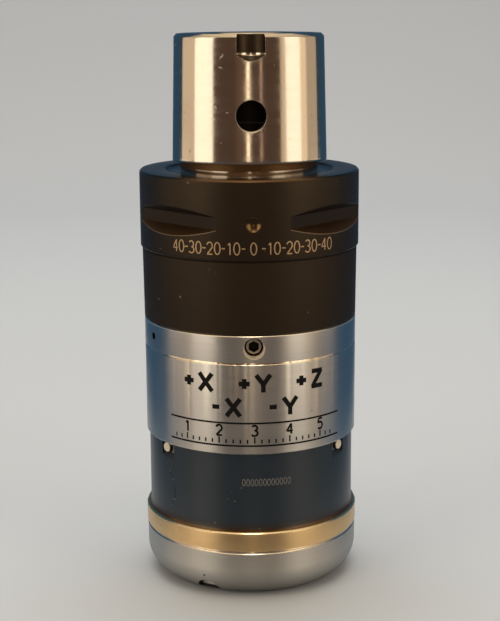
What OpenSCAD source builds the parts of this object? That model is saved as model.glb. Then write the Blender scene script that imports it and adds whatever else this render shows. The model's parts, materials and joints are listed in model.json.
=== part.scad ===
// Radio touch probe on a one-piece tool holder with a three-lobed taper shank.
// Millimetres. Origin at the centre of the front face, +Z towards the shank, -Y is the front.

/* [Shank] */
// Width across the three-lobed shank at the gauge face
shank_w = 44; // [41:0.5:46]
// Lobe value of the shank outline
shank_lobe = 1.4; // [0.8:0.1:1.6]
// Length of the shank above the gauge face
shank_len = 38; // [36:1:44]
// Taper of the shank's width, one part in this many
shank_taper = 20; // [16:1:30]
// Chamfer at the shank's end
shank_chamfer = 0.9; // [0.4:0.1:1.4]
// Diameter of the round neck under the ground shank
neck_d = 39.4; // [38:0.2:40.6]
// Length of the neck
neck_len = 3; // [2:0.5:4]
// Diameter of the drawbar bore
bore_d = 28; // [26:0.5:29]
// Depth of the drawbar bore from the shank's end
bore_len = 31; // [30:0.5:33]
// Diameter of the clamping groove in the bore
groove_d = 32; // [30:0.5:33]
// Width of the clamping groove
groove_w = 9; // [8:0.5:10]
// Depth from the shank's end to the middle of the clamping groove and the side hole
groove_drop = 21.9; // [20.5:0.1:23]
// Diameter of the side hole in the shank
side_hole_d = 8.4; // [7:0.1:9]
// Diameter of the threaded bottom of the bore, at its core
drawbar_d = 17.5; // [15:0.5:18]
// Depth of the threaded bottom
drawbar_len = 18; // [12:1:20]
// Diameter of the end notch
notch_d = 8.6; // [7:0.1:9]
// Distance of the end notch from the shank's axis
notch_off = 21.25; // [20.8:0.05:21.6]
// Depth of the end notch, without its drill point
notch_len = 5.6; // [4:0.1:7]

/* [Flange] */
// Diameter of the flange
flange_d = 63; // [62.6:0.1:65]
// Length of the flange
flange_len = 22; // [20:0.5:24]
// Chamfer on the flange's edges
flange_chamfer = 0.5; // [0.3:0.1:0.8]
// Diameter of the shallow relief round the neck
relief_d = 48.8; // [48:0.2:52]
// Depth of that relief
relief_depth = 0.5; // [0.2:0.1:0.8]
// Azimuth of the grip slots from the front and from the back
slot_az = 47.5; // [42:0.5:50]
// Depth of the grip slots
slot_depth = 3.9; // [3:0.1:4.4]
// Height of the grip slots' flat floor
slot_floor = 3.4; // [3:0.1:4]
// Distance of the grip slots and the dimple below the gauge face
slot_drop = 11.8; // [11:0.1:12.5]
// Diameter of the index dimple
dimple_d = 4.2; // [3.5:0.1:5]
// Depth of the index dimple's straight part
dimple_depth = 1.2; // [0.8:0.1:2]
// Length of the plain barrel below the flange
barrel_len = 20.5; // [18:0.5:24]
// Diameter of the barrel where it meets the flange
barrel_d = 62; // [61.8:0.1:62.4]

/* [Probe body] */
// Diameter of the steel collar and sleeve
body_d = 61.6; // [61:0.1:61.8]
// Visible length of the mounting collar
collar_len = 8; // [7.5:0.5:10]
// How much longer a battery cell is than the steel sleeve
sleeve_short = 18.4; // [17.6:0.1:18.4]
// Length of the dark window
window_len = 22.8; // [20:0.2:26]
// Step of the dark window below the sleeve, each side
window_step = 0.8; // [0.6:0.1:1]
// Length of the gold clamp ring
ring_len = 5.8; // [5:0.2:7]
// Step of the gold clamp ring above the sleeve, each side
ring_step = 0.45; // [0.2:0.05:0.7]
// Length of the front cover below the ring
cover_len = 14.4; // [14:0.2:15.4]
// Step of the front cover above the sleeve, each side
cover_step = 0.3; // [0.1:0.05:0.4]
// Radius of the cover's round edge
cover_round = 8.6; // [7:0.1:9.4]
// Fine chamfer on the edges of the turned rings
edge = 0.35; // [0.2:0.05:0.5]
// Wall thickness of the window
window_wall = 2.8; // [2.7:0.05:2.9]
// Wall thickness of the sleeve
sleeve_wall = 2.5; // [2.3:0.1:2.7]
// Diameter of the half-round spanner slots
spanner_d = 7; // [5:0.2:8]
// Azimuth of the spanner slots
spanner_az = -28; // [-45:1:-20]
// Width of the lamp recesses in the window
lamp_pocket_w = 5.8; // [5.2:0.1:6.4]
// Azimuth that the front lamp recesses face, each side
lamp_az = 47; // [44:1:50]
// Distance of a lamp from the middle of its facing line, away from the front
lamp_off = 4.85; // [4.6:0.05:5]
// Height of the lamp recesses
lamp_pocket_h = 4.8; // [4.4:0.1:5.4]
// Depth of the lamp recesses
lamp_pocket_depth = 1.5; // [1.2:0.1:1.6]
// Diameter of the lamps
lamp_d = 3.4; // [3:0.1:3.6]

/* [Rear joint] */
// Diameter of the holder's spigot
spigot_d = 36; // [34:0.5:38]
// Length of the spigot
spigot_len = 11.8; // [10:0.2:12]
// Play of the spigot in the collar, each side, for centring
spigot_play = 1.5; // [1:0.1:2]
// Thread diameter of the collar's radial screws
grub_d = 5; // [4:0.5:5]
// Distance of the radial screws from the collar's joint face
grub_drop = 3.7; // [3.5:0.1:4.2]
// Width across the flats of the radial screws' sockets
grub_af = 2.5; // [2:0.5:2.5]
// Diameter of the wide ends of the radial screws' bores
grub_sink_d = 6; // [5.6:0.1:6.4]
// Depth over which these bores narrow to the thread
grub_sink_depth = 2.7; // [2.2:0.1:3]
// Distance of the screws' faces below that depth
grub_face_drop = 0.4; // [0.2:0.1:0.6]
// Thread diameter of the collar bolts
bolt_d = 3; // [2.5:0.5:3]
// Distance of the collar bolts from the sleeve's bore
bolt_inset = 4.1; // [3.7:0.1:4.3]
// Diameter of the vent hole in the collar
vent_d = 2; // [1.5:0.1:2.5]
// Azimuth of the vent hole
vent_az = -65; // [-70:0.5:-60]

/* [Sensing mechanism] */
// Height of the roller axes above the front face
seat_z = 20; // [19.6:0.1:20.4]
// Radius of the circle of the three seats
seat_r = 6.5; // [6.2:0.1:6.8]
// Diameter of the rollers and of the balls
ball_d = 2.5; // [2.2:0.1:2.6]
// Distance of each ball from the middle of its pair
ball_off = 1.5; // [1.4:0.05:1.6]
// Thickness of the carrier's arms
arm_t = 3; // [2.6:0.1:3.4]
// Width of the carrier's arms
arm_w = 3.6; // [3.2:0.1:4]
// Diameter of the carrier's hub
hub_boss_d = 9; // [8.6:0.1:9.4]
// Diameter of the stylus holder
stem_d = 6; // [5.6:0.1:6.2]
// Height of the stylus holder's end above the front face
stem_z = 3.2; // [3:0.1:3.6]
// Core diameter of the stylus thread
stylus_thread_d = 3.3; // [2.5:0.1:3.5]
// Depth of the stylus thread
stylus_thread_len = 8; // [6:0.5:9]
// Diameter of the opening in the front cover
mouth_d = 17; // [16.6:0.1:17.4]
// Outer radius of the ball-shaped eyelid
lid_r = 17; // [16.8:0.1:17.2]
// Thickness of the eyelid
lid_t = 0.6; // [0.5:0.05:0.7]
// Half angle of the eyelid
lid_half = 44; // [42:0.5:45]
// Thickness of the rubber diaphragm
diaphragm_t = 0.6; // [0.5:0.05:0.7]
// Outer diameter of the diaphragm and its clamp
diaphragm_d = 24.8; // [24:0.2:25]
// Wire diameter of the return spring
spring_wire = 1; // [0.8:0.1:1.1]
// Turns of the return spring
spring_turns = 6; // [4:1:8]
// Mean radius of the return spring
spring_r = 4; // [3.8:0.1:4.2]

/* [Power and electronics] */
// Diameter of a battery cell
cell_d = 10.5; // [10:0.1:10.6]
// Length of a battery cell
cell_len = 44.4; // [43:0.1:44.5]
// Wall between a cell's well and the outside of the chassis
cell_wall = 1.15; // [1.05:0.05:1.25]
// Azimuth of each cell from the back
cell_az = 30; // [26:1:34]
// Thickness of the circuit board
board_t = 1.6; // [1:0.1:1.6]

/* [Fits] */
// Radial play of threads and sliding fits
play = 0.1; // [0.05:0.01:0.12]
// Gap left between a seated piece and its seat
seat_gap = 0.05; // [0.02:0.01:0.1]

/* [Hidden] */
$fn = 96;
eps = 0.01;
far = 200;

// The sleeve is as long as the cells need
sleeve_len = cell_len - sleeve_short;

// Diameters that follow the sleeve
window_d = body_d - 2 * window_step;
ring_d = body_d + 2 * ring_step;
cover_d = body_d + 2 * cover_step;
core_d = window_d - 2 * window_wall;
hub_d = body_d - 2 * sleeve_wall;

// Levels along the axis, from the front face up
ring_z = cover_len;
window_z = ring_z + ring_len;
sleeve_z = window_z + window_len;
collar_z = sleeve_z + sleeve_len;
joint_z = collar_z + collar_len;
flange_z = joint_z + barrel_len;
gauge_z = flange_z + flange_len;
top_z = gauge_z + shank_len;

// The shank's outline: a three-lobed curve of constant width
shank_step = 2;
function shank_point(w, e, a) = [
    w / 2 * cos(a) - 2 * e * cos(2 * a) + e * cos(4 * a),
    w / 2 * sin(a) + 2 * e * sin(2 * a) + e * sin(4 * a)
];
shank_top_w = shank_w - shank_len / shank_taper;
shank_base_w = shank_w - neck_len / shank_taper;
drill_point = 118;
slot_flank = 30;
chuck_taper = 45;

// Heights inside the probe
cover_thread = 4.2;
core_z = cover_len - cover_thread;
core_r = core_d / 2;
hub_r = hub_d / 2;
bolt_r = hub_r - bolt_inset;
spigot_bore_r = spigot_d / 2 + spigot_play;
recess_z = joint_z - spigot_len - 0.6;
collar_floor_t = 3.6;
collar_low_z = recess_z - collar_floor_t;
board_space = 3.6;
chamber_z = collar_low_z - board_space;
chamber_r = hub_r - 1.9;
board_lift = 0.6;
board_z = chamber_z + board_lift;
board_r = chamber_r - 0.4;
grub_z = joint_z - grub_drop;
grub_face_r = body_d / 2 - grub_sink_depth - grub_face_drop;
bolt_head_d = 5.5;
bolt_head_h = 3;
bolt_af = 2.5;
bolt_grip = 3;
bolt_azs = [45, 112.5, 247.5, 315];
boss_d = 6;
centring_azs = [0, 90, 180, 270];
clamp_azs = [135, 225];
lamp_places = [[-lamp_az, -1], [lamp_az, 1], [180, 1]];
lamp_margin = 0.15;
seat_azs = [0, 120, 240];

// Sensing mechanism
ball_r = ball_d / 2;
seat_drop = sqrt(pow(ball_d + seat_gap, 2) - pow(ball_off, 2));
ball_z = seat_z - seat_drop;
roller_len = 3;
arm_gap = 0.3;
arm_r = seat_r + roller_len / 2 + 0.2;
arm_z = seat_z + arm_gap;
hub_boss_z = seat_z - 0.8;
hub_boss_top = arm_z + arm_t + 1.2;
stud_d = 4;
seat_plate_top = ball_z - 0.35;
seat_plate_t = 1.4;
seat_plate_z = seat_plate_top - seat_plate_t;
seat_rim = 4.5;
seat_plate_r = seat_r + seat_rim;
web_t = 1.6;
web_z = seat_plate_z - web_t;
stem_hole_r = stem_d / 2 + 2.5;
diaphragm_z = web_z - diaphragm_t;
clamp_t = 1.2;
clamp_z = diaphragm_z - clamp_t;
lid_gap = 0.3;
lid_space_r = lid_r - 2.1;
arm_room = 4.2;
main_bore_r = arm_r + arm_room;
lift_space = 22;
main_bore_top = seat_z + lift_space;
spring_bore_r = spring_r + 3;
spring_z = hub_boss_top + seat_gap;
spring_space = 8;
plug_z = main_bore_top + spring_space;
plug_r = spring_bore_r + 2;
plug_len = 4;
plug_af = 4;

// Power
well_r = cell_d / 2 + play;
cell_r = core_r - cell_wall - well_r;
cassette_t = 1.3;
contact_t = 0.3;
pocket_depth = cassette_t + 0.1;
cell_z = core_z + pocket_depth + contact_t + seat_gap;
well_top = cell_z + cell_len + contact_t + 2 * seat_gap;
cassette_in_r = cell_r - well_r + 0.5;
cassette_out_r = cell_r + well_r - 0.5;
cassette_half = cell_az + 18;

// Seals and antenna
seal_d = 0.85;
seal_groove = seal_d + 0.15;
antenna_t = 0.35;
antenna_h = 11;
antenna_lift = 6;
antenna_z = window_z + antenna_lift;

// A ring between two radii
module ring(r_in, r_out, z, h) {
    translate([0, 0, z])
        difference() {
            cylinder(r = r_out, h = h);
            translate([0, 0, -eps])
                cylinder(r = r_in, h = h + 2 * eps);
        }
}

// A turned ring with a fine chamfer on both outer edges
module turned_ring(r_in, r_out, z, h) {
    translate([0, 0, z])
        rotate_extrude()
            polygon([
                [r_in, 0], [r_out - edge, 0], [r_out, edge],
                [r_out, h - edge], [r_out - edge, h], [r_in, h]
            ]);
}

// Children drawn at the front, turned to an azimuth from the front
module at_az(az) {
    rotate([0, 0, az])
        children();
}

// A round bar that lies along the front radius, from r1 to r2, at height z
module radial(d, r1, r2, z) {
    translate([0, -r1, z])
        rotate([90, 0, 0])
            cylinder(d = d, h = r2 - r1);
}

// A rubber ring of round section
module seal_ring(r, z, d) {
    translate([0, 0, z])
        rotate_extrude()
            translate([r, 0])
                circle(d = d, $fn = 32);
}

// The shank outline at one width, with a flat towards the front
module shank_outline(w) {
    rotate([0, 0, -90])
        polygon([for (a = [0 : shank_step : 360 - shank_step]) 
            shank_point(w, shank_lobe * w / shank_base_w, a)]);
}

// A shank length that tapers from one width to another
module shank_taper_part(z, h, w1, w2) {
    translate([0, 0, z])
        linear_extrude(height = h, scale = w2 / w1)
            shank_outline(w1);
}

// One grip slot: a straight cut with a flat floor and slanting flanks
module grip_slot() {
    reach = slot_depth + 2;
    rise = reach * tan(slot_flank);
    translate([-flange_d / 2, -flange_d / 2 + slot_depth, gauge_z - slot_drop])
        rotate([90, 0, 90])
            linear_extrude(height = flange_d)
                polygon([
                    [0, slot_floor / 2], [-reach, slot_floor / 2 + rise],
                    [-reach, -slot_floor / 2 - rise], [0, -slot_floor / 2]
                ]);
}

// A vertical drilled hole that ends in a drill point, from the shank's end down
module end_notch() {
    point_h = notch_d / 2 / tan(drill_point / 2);
    translate([0, -notch_off, top_z - notch_len]) {
        cylinder(d = notch_d, h = notch_len + 1);
        translate([0, 0, -point_h])
            cylinder(d1 = 0, d2 = notch_d, h = point_h);
    }
}

// Drawbar bore with its clamping groove and threaded bottom
module drawbar_bore() {
    groove_z = top_z - groove_drop;
    slope = (groove_d - bore_d) / 2 / tan(chuck_taper);
    translate([0, 0, top_z - bore_len])
        cylinder(d = bore_d, h = bore_len + 1);
    translate([0, 0, groove_z - groove_w / 2])
        cylinder(d = groove_d, h = groove_w - slope);
    translate([0, 0, groove_z + groove_w / 2 - slope])
        cylinder(d1 = groove_d, d2 = bore_d, h = slope);
    translate([0, 0, top_z - bore_len - drawbar_len])
        cylinder(d = drawbar_d, h = drawbar_len + 1);
}

// Flange, barrel and spigot as one turned profile
module holder_turning() {
    fr = flange_d / 2;
    rotate_extrude()
        polygon([
            [0, joint_z - spigot_len], [spigot_d / 2 - edge, joint_z - spigot_len],
            [spigot_d / 2, joint_z - spigot_len + edge], [spigot_d / 2, joint_z],
            [body_d / 2 - edge, joint_z], [body_d / 2, joint_z + edge],
            [barrel_d / 2, flange_z - edge], [barrel_d / 2 - edge, flange_z - edge / 2],
            [barrel_d / 2 - edge, flange_z],
            [fr - flange_chamfer, flange_z], [fr, flange_z + flange_chamfer],
            [fr, gauge_z - flange_chamfer], [fr - flange_chamfer, gauge_z],
            [relief_d / 2, gauge_z], [relief_d / 2 - relief_depth, gauge_z - relief_depth],
            [neck_d / 2, gauge_z - relief_depth], [neck_d / 2, gauge_z + neck_len + eps],
            [0, gauge_z + neck_len + eps]
        ]);
}

module tool_holder() {
    ground_len = shank_len - neck_len - shank_chamfer;
    chamfer_w = shank_top_w - 2 * shank_chamfer;
    color([0.12, 0.10, 0.08])
        difference() {
            union() {
                holder_turning();
                shank_taper_part(gauge_z + neck_len, ground_len, shank_base_w, shank_top_w);
                shank_taper_part(top_z - shank_chamfer, shank_chamfer, shank_top_w - 2 * eps, chamfer_w);
            }
            drawbar_bore();
            end_notch();
            radial(side_hole_d, 0, shank_w, top_z - groove_drop);
            for (az = [slot_az, -slot_az, 180 - slot_az, 180 + slot_az])
                at_az(az)
                    grip_slot();
            radial(dimple_d, flange_d / 2 - dimple_depth, flange_d, gauge_z - slot_drop);
            translate([0, -flange_d / 2 + dimple_depth, gauge_z - slot_drop])
                rotate([-90, 0, 0])
                    cylinder(d1 = dimple_d, d2 = 0, h = dimple_d / 2 / tan(drill_point / 2));
            for (az = clamp_azs)
                at_az(az)
                    clamp_cone(play);
        }
}

// Cone point of a clamp screw, and with some play its seat in the spigot
clamp_tip_r = spigot_d / 2 - 1.6;
module clamp_cone(gap) {
    cone_len = grub_d / 2;
    translate([0, -clamp_tip_r + gap * 2, grub_z])
        rotate([90, 0, 0])
            cylinder(d1 = 0, d2 = grub_d + 2 * gap, h = cone_len + gap);
    radial(grub_d + 2 * gap, clamp_tip_r + cone_len - gap, clamp_tip_r + cone_len + 2, grub_z);
}

// Hexagon socket in the outer face of a radial screw
module grub_socket() {
    translate([0, -grub_face_r + grub_d / 2, grub_z])
        rotate([90, 0, 0])
            cylinder(d = grub_af / cos(30), h = grub_d, $fn = 6);
}

module centring_screws() {
    color([0.35, 0.33, 0.30])
        for (az = centring_azs)
            at_az(az)
                difference() {
                    radial(grub_d, spigot_d / 2 + seat_gap, grub_face_r, grub_z);
                    grub_socket();
                }
}

module clamp_screws() {
    color([0.35, 0.33, 0.30])
        for (az = clamp_azs)
            at_az(az)
                difference() {
                    union() {
                        clamp_cone(0);
                        radial(grub_d, clamp_tip_r + grub_d / 2, grub_face_r, grub_z);
                    }
                    grub_socket();
                }
}

// Bolts from the collar's joint face into the chassis
module collar_bolt_cut(gap) {
    head_z = joint_z - bolt_head_h - 0.6;
    translate([0, -bolt_r, collar_low_z - bolt_grip - gap])
        cylinder(d = bolt_d + 2 * gap, h = head_z - collar_low_z + bolt_grip + gap);
    translate([0, -bolt_r, head_z])
        cylinder(d = bolt_head_d + 2 * gap, h = bolt_head_h + (gap > 0 ? 2 : 0));
}

module collar_bolts() {
    color([0.4, 0.4, 0.42])
        for (az = bolt_azs)
            at_az(az)
                difference() {
                    collar_bolt_cut(0);
                    translate([0, -bolt_r, joint_z - bolt_head_h * 0.8])
                        cylinder(d = bolt_af / cos(30), h = bolt_head_h, $fn = 6);
                }
}

module mounting_collar() {
    sink_slope = (grub_sink_d - grub_d) / 2 / grub_sink_depth;
    color([0.50, 0.48, 0.45])
        difference() {
            union() {
                turned_ring(spigot_bore_r, body_d / 2, collar_z, collar_len);
                ring(spigot_bore_r, hub_r, collar_low_z, collar_z - collar_low_z + edge);
                translate([0, 0, collar_low_z])
                    cylinder(r = hub_r, h = collar_floor_t);
            }
            for (az = concat(centring_azs, clamp_azs))
                at_az(az) {
                    radial(grub_d + 2 * play, spigot_d / 4, body_d, grub_z);
                    translate([0, -body_d / 2 + grub_sink_depth, grub_z])
                        rotate([90, 0, 0])
                            cylinder(d1 = grub_d, d2 = grub_sink_d + 2 * sink_slope, h = grub_sink_depth + 1);
                }
            for (az = bolt_azs)
                at_az(az)
                    collar_bolt_cut(play);
            at_az(vent_az)
                radial(vent_d, body_d / 2 - 3, body_d, grub_z);
        }
}

module body_sleeve() {
    color([0.50, 0.48, 0.45])
        turned_ring(hub_r + play, body_d / 2, sleeve_z, sleeve_len);
}

module signal_window() {
    pocket_floor = window_d / 2 - lamp_pocket_depth;
    inner = core_r + play;
    lip = 0.5;
    color([0.17, 0.19, 0.21])
        difference() {
            translate([0, 0, window_z])
                rotate_extrude()
                    polygon([
                        [inner, seal_groove], [inner + seal_groove, seal_groove],
                        [inner + seal_groove, 0], [window_d / 2 - lip, 0],
                        [window_d / 2, lip], [window_d / 2, window_len],
                        [inner + seal_groove, window_len],
                        [inner + seal_groove, window_len - seal_groove],
                        [inner, window_len - seal_groove]
                    ]);
            for (place = lamp_places)
                at_az(place[0])
                    mirror([place[1] < 0 ? 1 : 0, 0, 0])
                        translate([lamp_off + lamp_d / 2 + lamp_margin - lamp_pocket_w, 0, sleeve_z])
                            rotate([90, 0, 90])
                                linear_extrude(lamp_pocket_w)
                                    polygon([
                                        [-pocket_floor, 1], [-pocket_floor, lamp_pocket_depth - lamp_pocket_h],
                                        [-window_d / 2, -lamp_pocket_h], [-window_d, -lamp_pocket_h], [-window_d, 1]
                                    ]);
        }
}

// One lamp: a short round body with a domed face, on the floor of its recess
module status_led(place) {
    floor_r = window_d / 2 - lamp_pocket_depth;
    dome_r = lamp_d * 0.8;
    lamp_z = sleeve_z - lamp_d / 2 - seat_gap;
    color([0.95, 0.93, 0.85])
        at_az(place[0])
            translate([place[1] * lamp_off, 0, 0])
            intersection() {
                radial(lamp_d, floor_r, floor_r + lamp_d, lamp_z);
                translate([0, -floor_r - lamp_pocket_depth * 0.7 + dome_r, lamp_z])
                    sphere(r = dome_r);
            }
}

module status_led_left() {
    status_led(lamp_places[0]);
}

module status_led_right() {
    status_led(lamp_places[1]);
}

module status_led_rear() {
    status_led(lamp_places[2]);
}

module clamp_ring() {
    color([0.60, 0.47, 0.27])
        turned_ring(core_r + play, ring_d / 2, ring_z, ring_len);
}

// Outer form of the front cover: a disc with a round lower edge
module cover_form() {
    r = cover_d / 2;
    rotate_extrude() {
        square([r - cover_round, cover_round]);
        translate([0, cover_round])
            square([r, cover_len - cover_round - edge]);
        translate([0, cover_len - edge])
            square([r - edge, edge]);
        intersection() {
            translate([r - cover_round, cover_round])
                circle(r = cover_round);
            square([r, cover_round]);
        }
    }
}

module front_cover() {
    dot_z = cover_round * 0.74;
    color([0.46, 0.43, 0.40])
        difference() {
            cover_form();
            translate([0, 0, -1])
                cylinder(d = mouth_d, h = cover_len);
            translate([0, 0, core_z - seat_gap])
                cylinder(r = core_r + play, h = cover_len);
            translate([0, 0, seat_z])
                sphere(r = lid_r + lid_gap);
            seal_ring(cover_seal_r, core_z - seat_gap, seal_d);
            for (az = [spanner_az, spanner_az + 180])
                at_az(az)
                    radial(spanner_d, cover_d / 2 - cover_round * 0.7, cover_d, spanner_d * 0.15);
            at_az(spanner_az)
                radial(0.5, cover_d / 2 - 2, cover_d, dot_z);
        }
}

// Rubber ring between the cover and the front of the chassis, half sunk in each
cover_seal_r = core_r - 0.6;
module cover_seal() {
    color([0.08, 0.08, 0.08])
        seal_ring(cover_seal_r, core_z - seat_gap, seal_d - 2 * seat_gap);
}

module window_seal_front() {
    color([0.08, 0.08, 0.08])
        seal_ring(core_r + play + seal_groove / 2, window_z + seal_groove / 2, seal_d);
}

module window_seal_rear() {
    color([0.08, 0.08, 0.08])
        seal_ring(core_r + play + seal_groove / 2, sleeve_z - seal_groove / 2, seal_d);
}

// The chassis' turned form, as a profile from its axis outwards
module chassis_turning() {
    rotate_extrude()
        polygon([
            [lid_space_r, core_z], [core_r, core_z], [core_r, antenna_z],
            [core_r - antenna_t - 2 * seat_gap, antenna_z],
            [core_r - antenna_t - 2 * seat_gap, antenna_z + antenna_h],
            [core_r, antenna_z + antenna_h], [core_r, sleeve_z],
            [hub_r, sleeve_z], [hub_r, collar_low_z],
            [chamber_r, collar_low_z], [chamber_r, chamber_z],
            [plug_r + play, chamber_z], [plug_r + play, plug_z],
            [spring_bore_r, plug_z], [spring_bore_r, main_bore_top],
            [main_bore_r, main_bore_top], [main_bore_r, seat_plate_z],
            [stem_hole_r, seat_plate_z], [stem_hole_r, web_z], [lid_space_r, web_z]
        ]);
}

// A sector of a ring about the back, from r1 to r2, half an angle each side
module back_sector(r1, r2, z, h, half) {
    translate([0, 0, z])
        rotate([0, 0, 90 - half])
            rotate_extrude(angle = 2 * half)
                translate([r1, 0])
                    square([r2 - r1, h]);
}

module chassis() {
    color([0.70, 0.71, 0.72])
        difference() {
            union() {
                chassis_turning();
                for (az = bolt_azs)
                    at_az(az)
                        translate([0, -bolt_r, chamber_z - eps])
                            cylinder(d = boss_d, h = collar_low_z - chamber_z + eps);
                for (az = board_screw_azs)
                    at_az(az)
                        translate([0, -board_screw_r, chamber_z - eps])
                            cylinder(d = boss_d, h = board_lift + eps);
            }
            for (az = [180 - cell_az, 180 + cell_az])
                at_az(az)
                    translate([0, -cell_r, core_z - 1])
                        cylinder(r = well_r, h = well_top - core_z + 1);
            back_sector(cassette_in_r, cassette_out_r, core_z - 1, pocket_depth + 1, cassette_half);
            seal_ring(cover_seal_r, core_z - seat_gap, seal_d);
            for (az = bolt_azs)
                at_az(az)
                    collar_bolt_cut(play);
            for (az = board_screw_azs)
                at_az(az)
                    translate([0, -board_screw_r, board_z - board_screw_len])
                        cylinder(d = board_screw_d + 2 * play, h = board_screw_len + 1);
        }
}

module antenna_ring() {
    color([0.72, 0.45, 0.20])
        ring(core_r - antenna_t - seat_gap, core_r - seat_gap, antenna_z + seat_gap,
             antenna_h - 2 * seat_gap);
}

// The board rests on three low bosses and leaves room for the bolt bosses
board_screw_azs = [0, 90, 270];
board_screw_r = 17;
board_screw_d = 2;
board_screw_len = 4;
module main_board() {
    color([0.05, 0.30, 0.15])
        difference() {
            translate([0, 0, board_z])
                cylinder(r = board_r, h = board_t);
            for (az = bolt_azs)
                at_az(az)
                    translate([0, -bolt_r, board_z - 1])
                        cylinder(d = boss_d + 0.6, h = board_t + 2);
            for (az = board_screw_azs)
                at_az(az)
                    translate([0, -board_screw_r, board_z - 1])
                        cylinder(d = board_screw_d + 2 * play, h = board_t + 2);
        }
}

// Screened radio module, processor and a coil on the board
radio_w = 10;
radio_len = 12;
radio_gap = 4;
chip_w = 8;
chip_off = 6;
coil_d = 5;
coil_off = 9;
module board_parts() {
    z = board_z + board_t;
    part_h = collar_low_z - z - 0.3;
    color([0.15, 0.15, 0.16]) {
        translate([-radio_w / 2, radio_gap, z])
            cube([radio_w, radio_len, part_h]);
        translate([-chip_off - chip_w, -chip_w / 2, z])
            cube([chip_w, chip_w, part_h * 0.7]);
        translate([coil_off, 0, z])
            cylinder(d = coil_d, h = part_h * 0.9);
    }
}

module board_screws() {
    color([0.7, 0.7, 0.7])
        for (az = board_screw_azs)
            at_az(az)
                translate([0, -board_screw_r, board_z - board_screw_len + play]) {
                    cylinder(d = board_screw_d, h = board_screw_len + board_t);
                    translate([0, 0, board_screw_len + board_t - play])
                        cylinder(d = board_screw_d * 1.8, h = 0.9);
                }
}

module battery_cassette() {
    side = 0.4;
    color([0.10, 0.10, 0.11])
        back_sector(cassette_in_r + play, cassette_out_r - play, core_z, cassette_t,
                    cassette_half - side);
}

// A cell with its raised end up
module battery(az) {
    nub_h = 1;
    color([0.25, 0.35, 0.55])
        at_az(az)
            translate([0, -cell_r, cell_z]) {
                cylinder(d = cell_d, h = cell_len - nub_h);
                cylinder(d = cell_d * 0.36, h = cell_len);
            }
}

module battery_1() {
    battery(180 - cell_az);
}

module battery_2() {
    battery(180 + cell_az);
}

// Sprung discs at both ends of each cell
module battery_contacts() {
    color([0.80, 0.70, 0.40])
        for (az = [180 - cell_az, 180 + cell_az])
            at_az(az)
                for (z = [core_z + pocket_depth, cell_z + cell_len + seat_gap])
                    translate([0, -cell_r, z])
                        cylinder(d = cell_d * 0.7, h = contact_t);
}

// Thin plate with three slits, so that each seat stands on its own sprung web
flexure_len = 8;
flexure_w = 0.6;
flexure_wall = 1;
module seat_plate() {
    color([0.62, 0.60, 0.58])
        difference() {
            ring(stem_hole_r - 1, seat_plate_r, seat_plate_z, seat_plate_t);
            for (az = seat_azs)
                at_az(az) {
                    for (side = [-1, 1])
                        translate([side * ball_off, -seat_r, ball_z])
                            sphere(d = ball_d + 2 * seat_gap);
                    translate([-flexure_len / 2, -seat_plate_r + flexure_wall, seat_plate_z - eps])
                        cube([flexure_len, flexure_w, seat_plate_t + 2 * eps]);
                }
        }
}

module seat_balls() {
    color([0.85, 0.85, 0.86])
        for (az = seat_azs)
            at_az(az)
                for (side = [-1, 1])
                    translate([side * ball_off, -seat_r, ball_z])
                        sphere(d = ball_d);
}

// Sensing elements bonded on the plate beside each seat
gauge_w = 3;
gauge_len = 4;
gauge_out = 2.5;
gauge_t = 0.25;
module strain_gauges() {
    color([0.30, 0.22, 0.12])
        for (az = seat_azs)
            at_az(az + 60)
                translate([-gauge_w / 2, -seat_r - gauge_out, seat_plate_top + seat_gap])
                    cube([gauge_w, gauge_len, gauge_t]);
}

module diaphragm_clamp() {
    color([0.55, 0.54, 0.52])
        ring(diaphragm_d / 2 - 3, diaphragm_d / 2, clamp_z, clamp_t - seat_gap);
}

module stylus_carrier() {
    color([0.60, 0.58, 0.55])
        difference() {
            union() {
                translate([0, 0, hub_boss_z])
                    cylinder(d = hub_boss_d, h = hub_boss_top - hub_boss_z);
                for (az = seat_azs)
                    at_az(az)
                        translate([-arm_w / 2, -arm_r, arm_z])
                            cube([arm_w, arm_r, arm_t]);
            }
            for (az = seat_azs)
                at_az(az)
                    radial(ball_d + 2 * seat_gap, seat_r - roller_len / 2 - seat_gap, arm_r + 1,
                           seat_z);
            translate([0, 0, hub_boss_z - 1])
                cylinder(d = stud_d + 2 * seat_gap, h = hub_boss_top - hub_boss_z + 2);
        }
}

module carrier_rollers() {
    color([0.85, 0.85, 0.86])
        for (az = seat_azs)
            at_az(az)
                radial(ball_d, seat_r - roller_len / 2, seat_r + roller_len / 2, seat_z);
}

module stylus_holder() {
    color([0.66, 0.65, 0.63])
        difference() {
            union() {
                translate([0, 0, stem_z])
                    cylinder(d = stem_d, h = hub_boss_z - stem_z - seat_gap);
                translate([0, 0, stem_z])
                    cylinder(d = stud_d, h = hub_boss_top - stem_z - seat_gap);
            }
            translate([0, 0, stem_z - 1])
                cylinder(d = stylus_thread_d, h = stylus_thread_len + 1);
        }
}

// A cap cut from a hollow ball about the roller plane, with a hole for the holder
module eyelid() {
    rim_r = lid_r * sin(lid_half);
    rim_z = seat_z - lid_r * cos(lid_half);
    color([0.60, 0.58, 0.56])
        intersection() {
            difference() {
                translate([0, 0, seat_z])
                    sphere(r = lid_r);
                translate([0, 0, seat_z])
                    sphere(r = lid_r - lid_t);
                translate([0, 0, seat_z - far])
                    cylinder(d = stem_d + 2 * play, h = 2 * far);
            }
            cylinder(r = rim_r, h = rim_z);
        }
}

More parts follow.
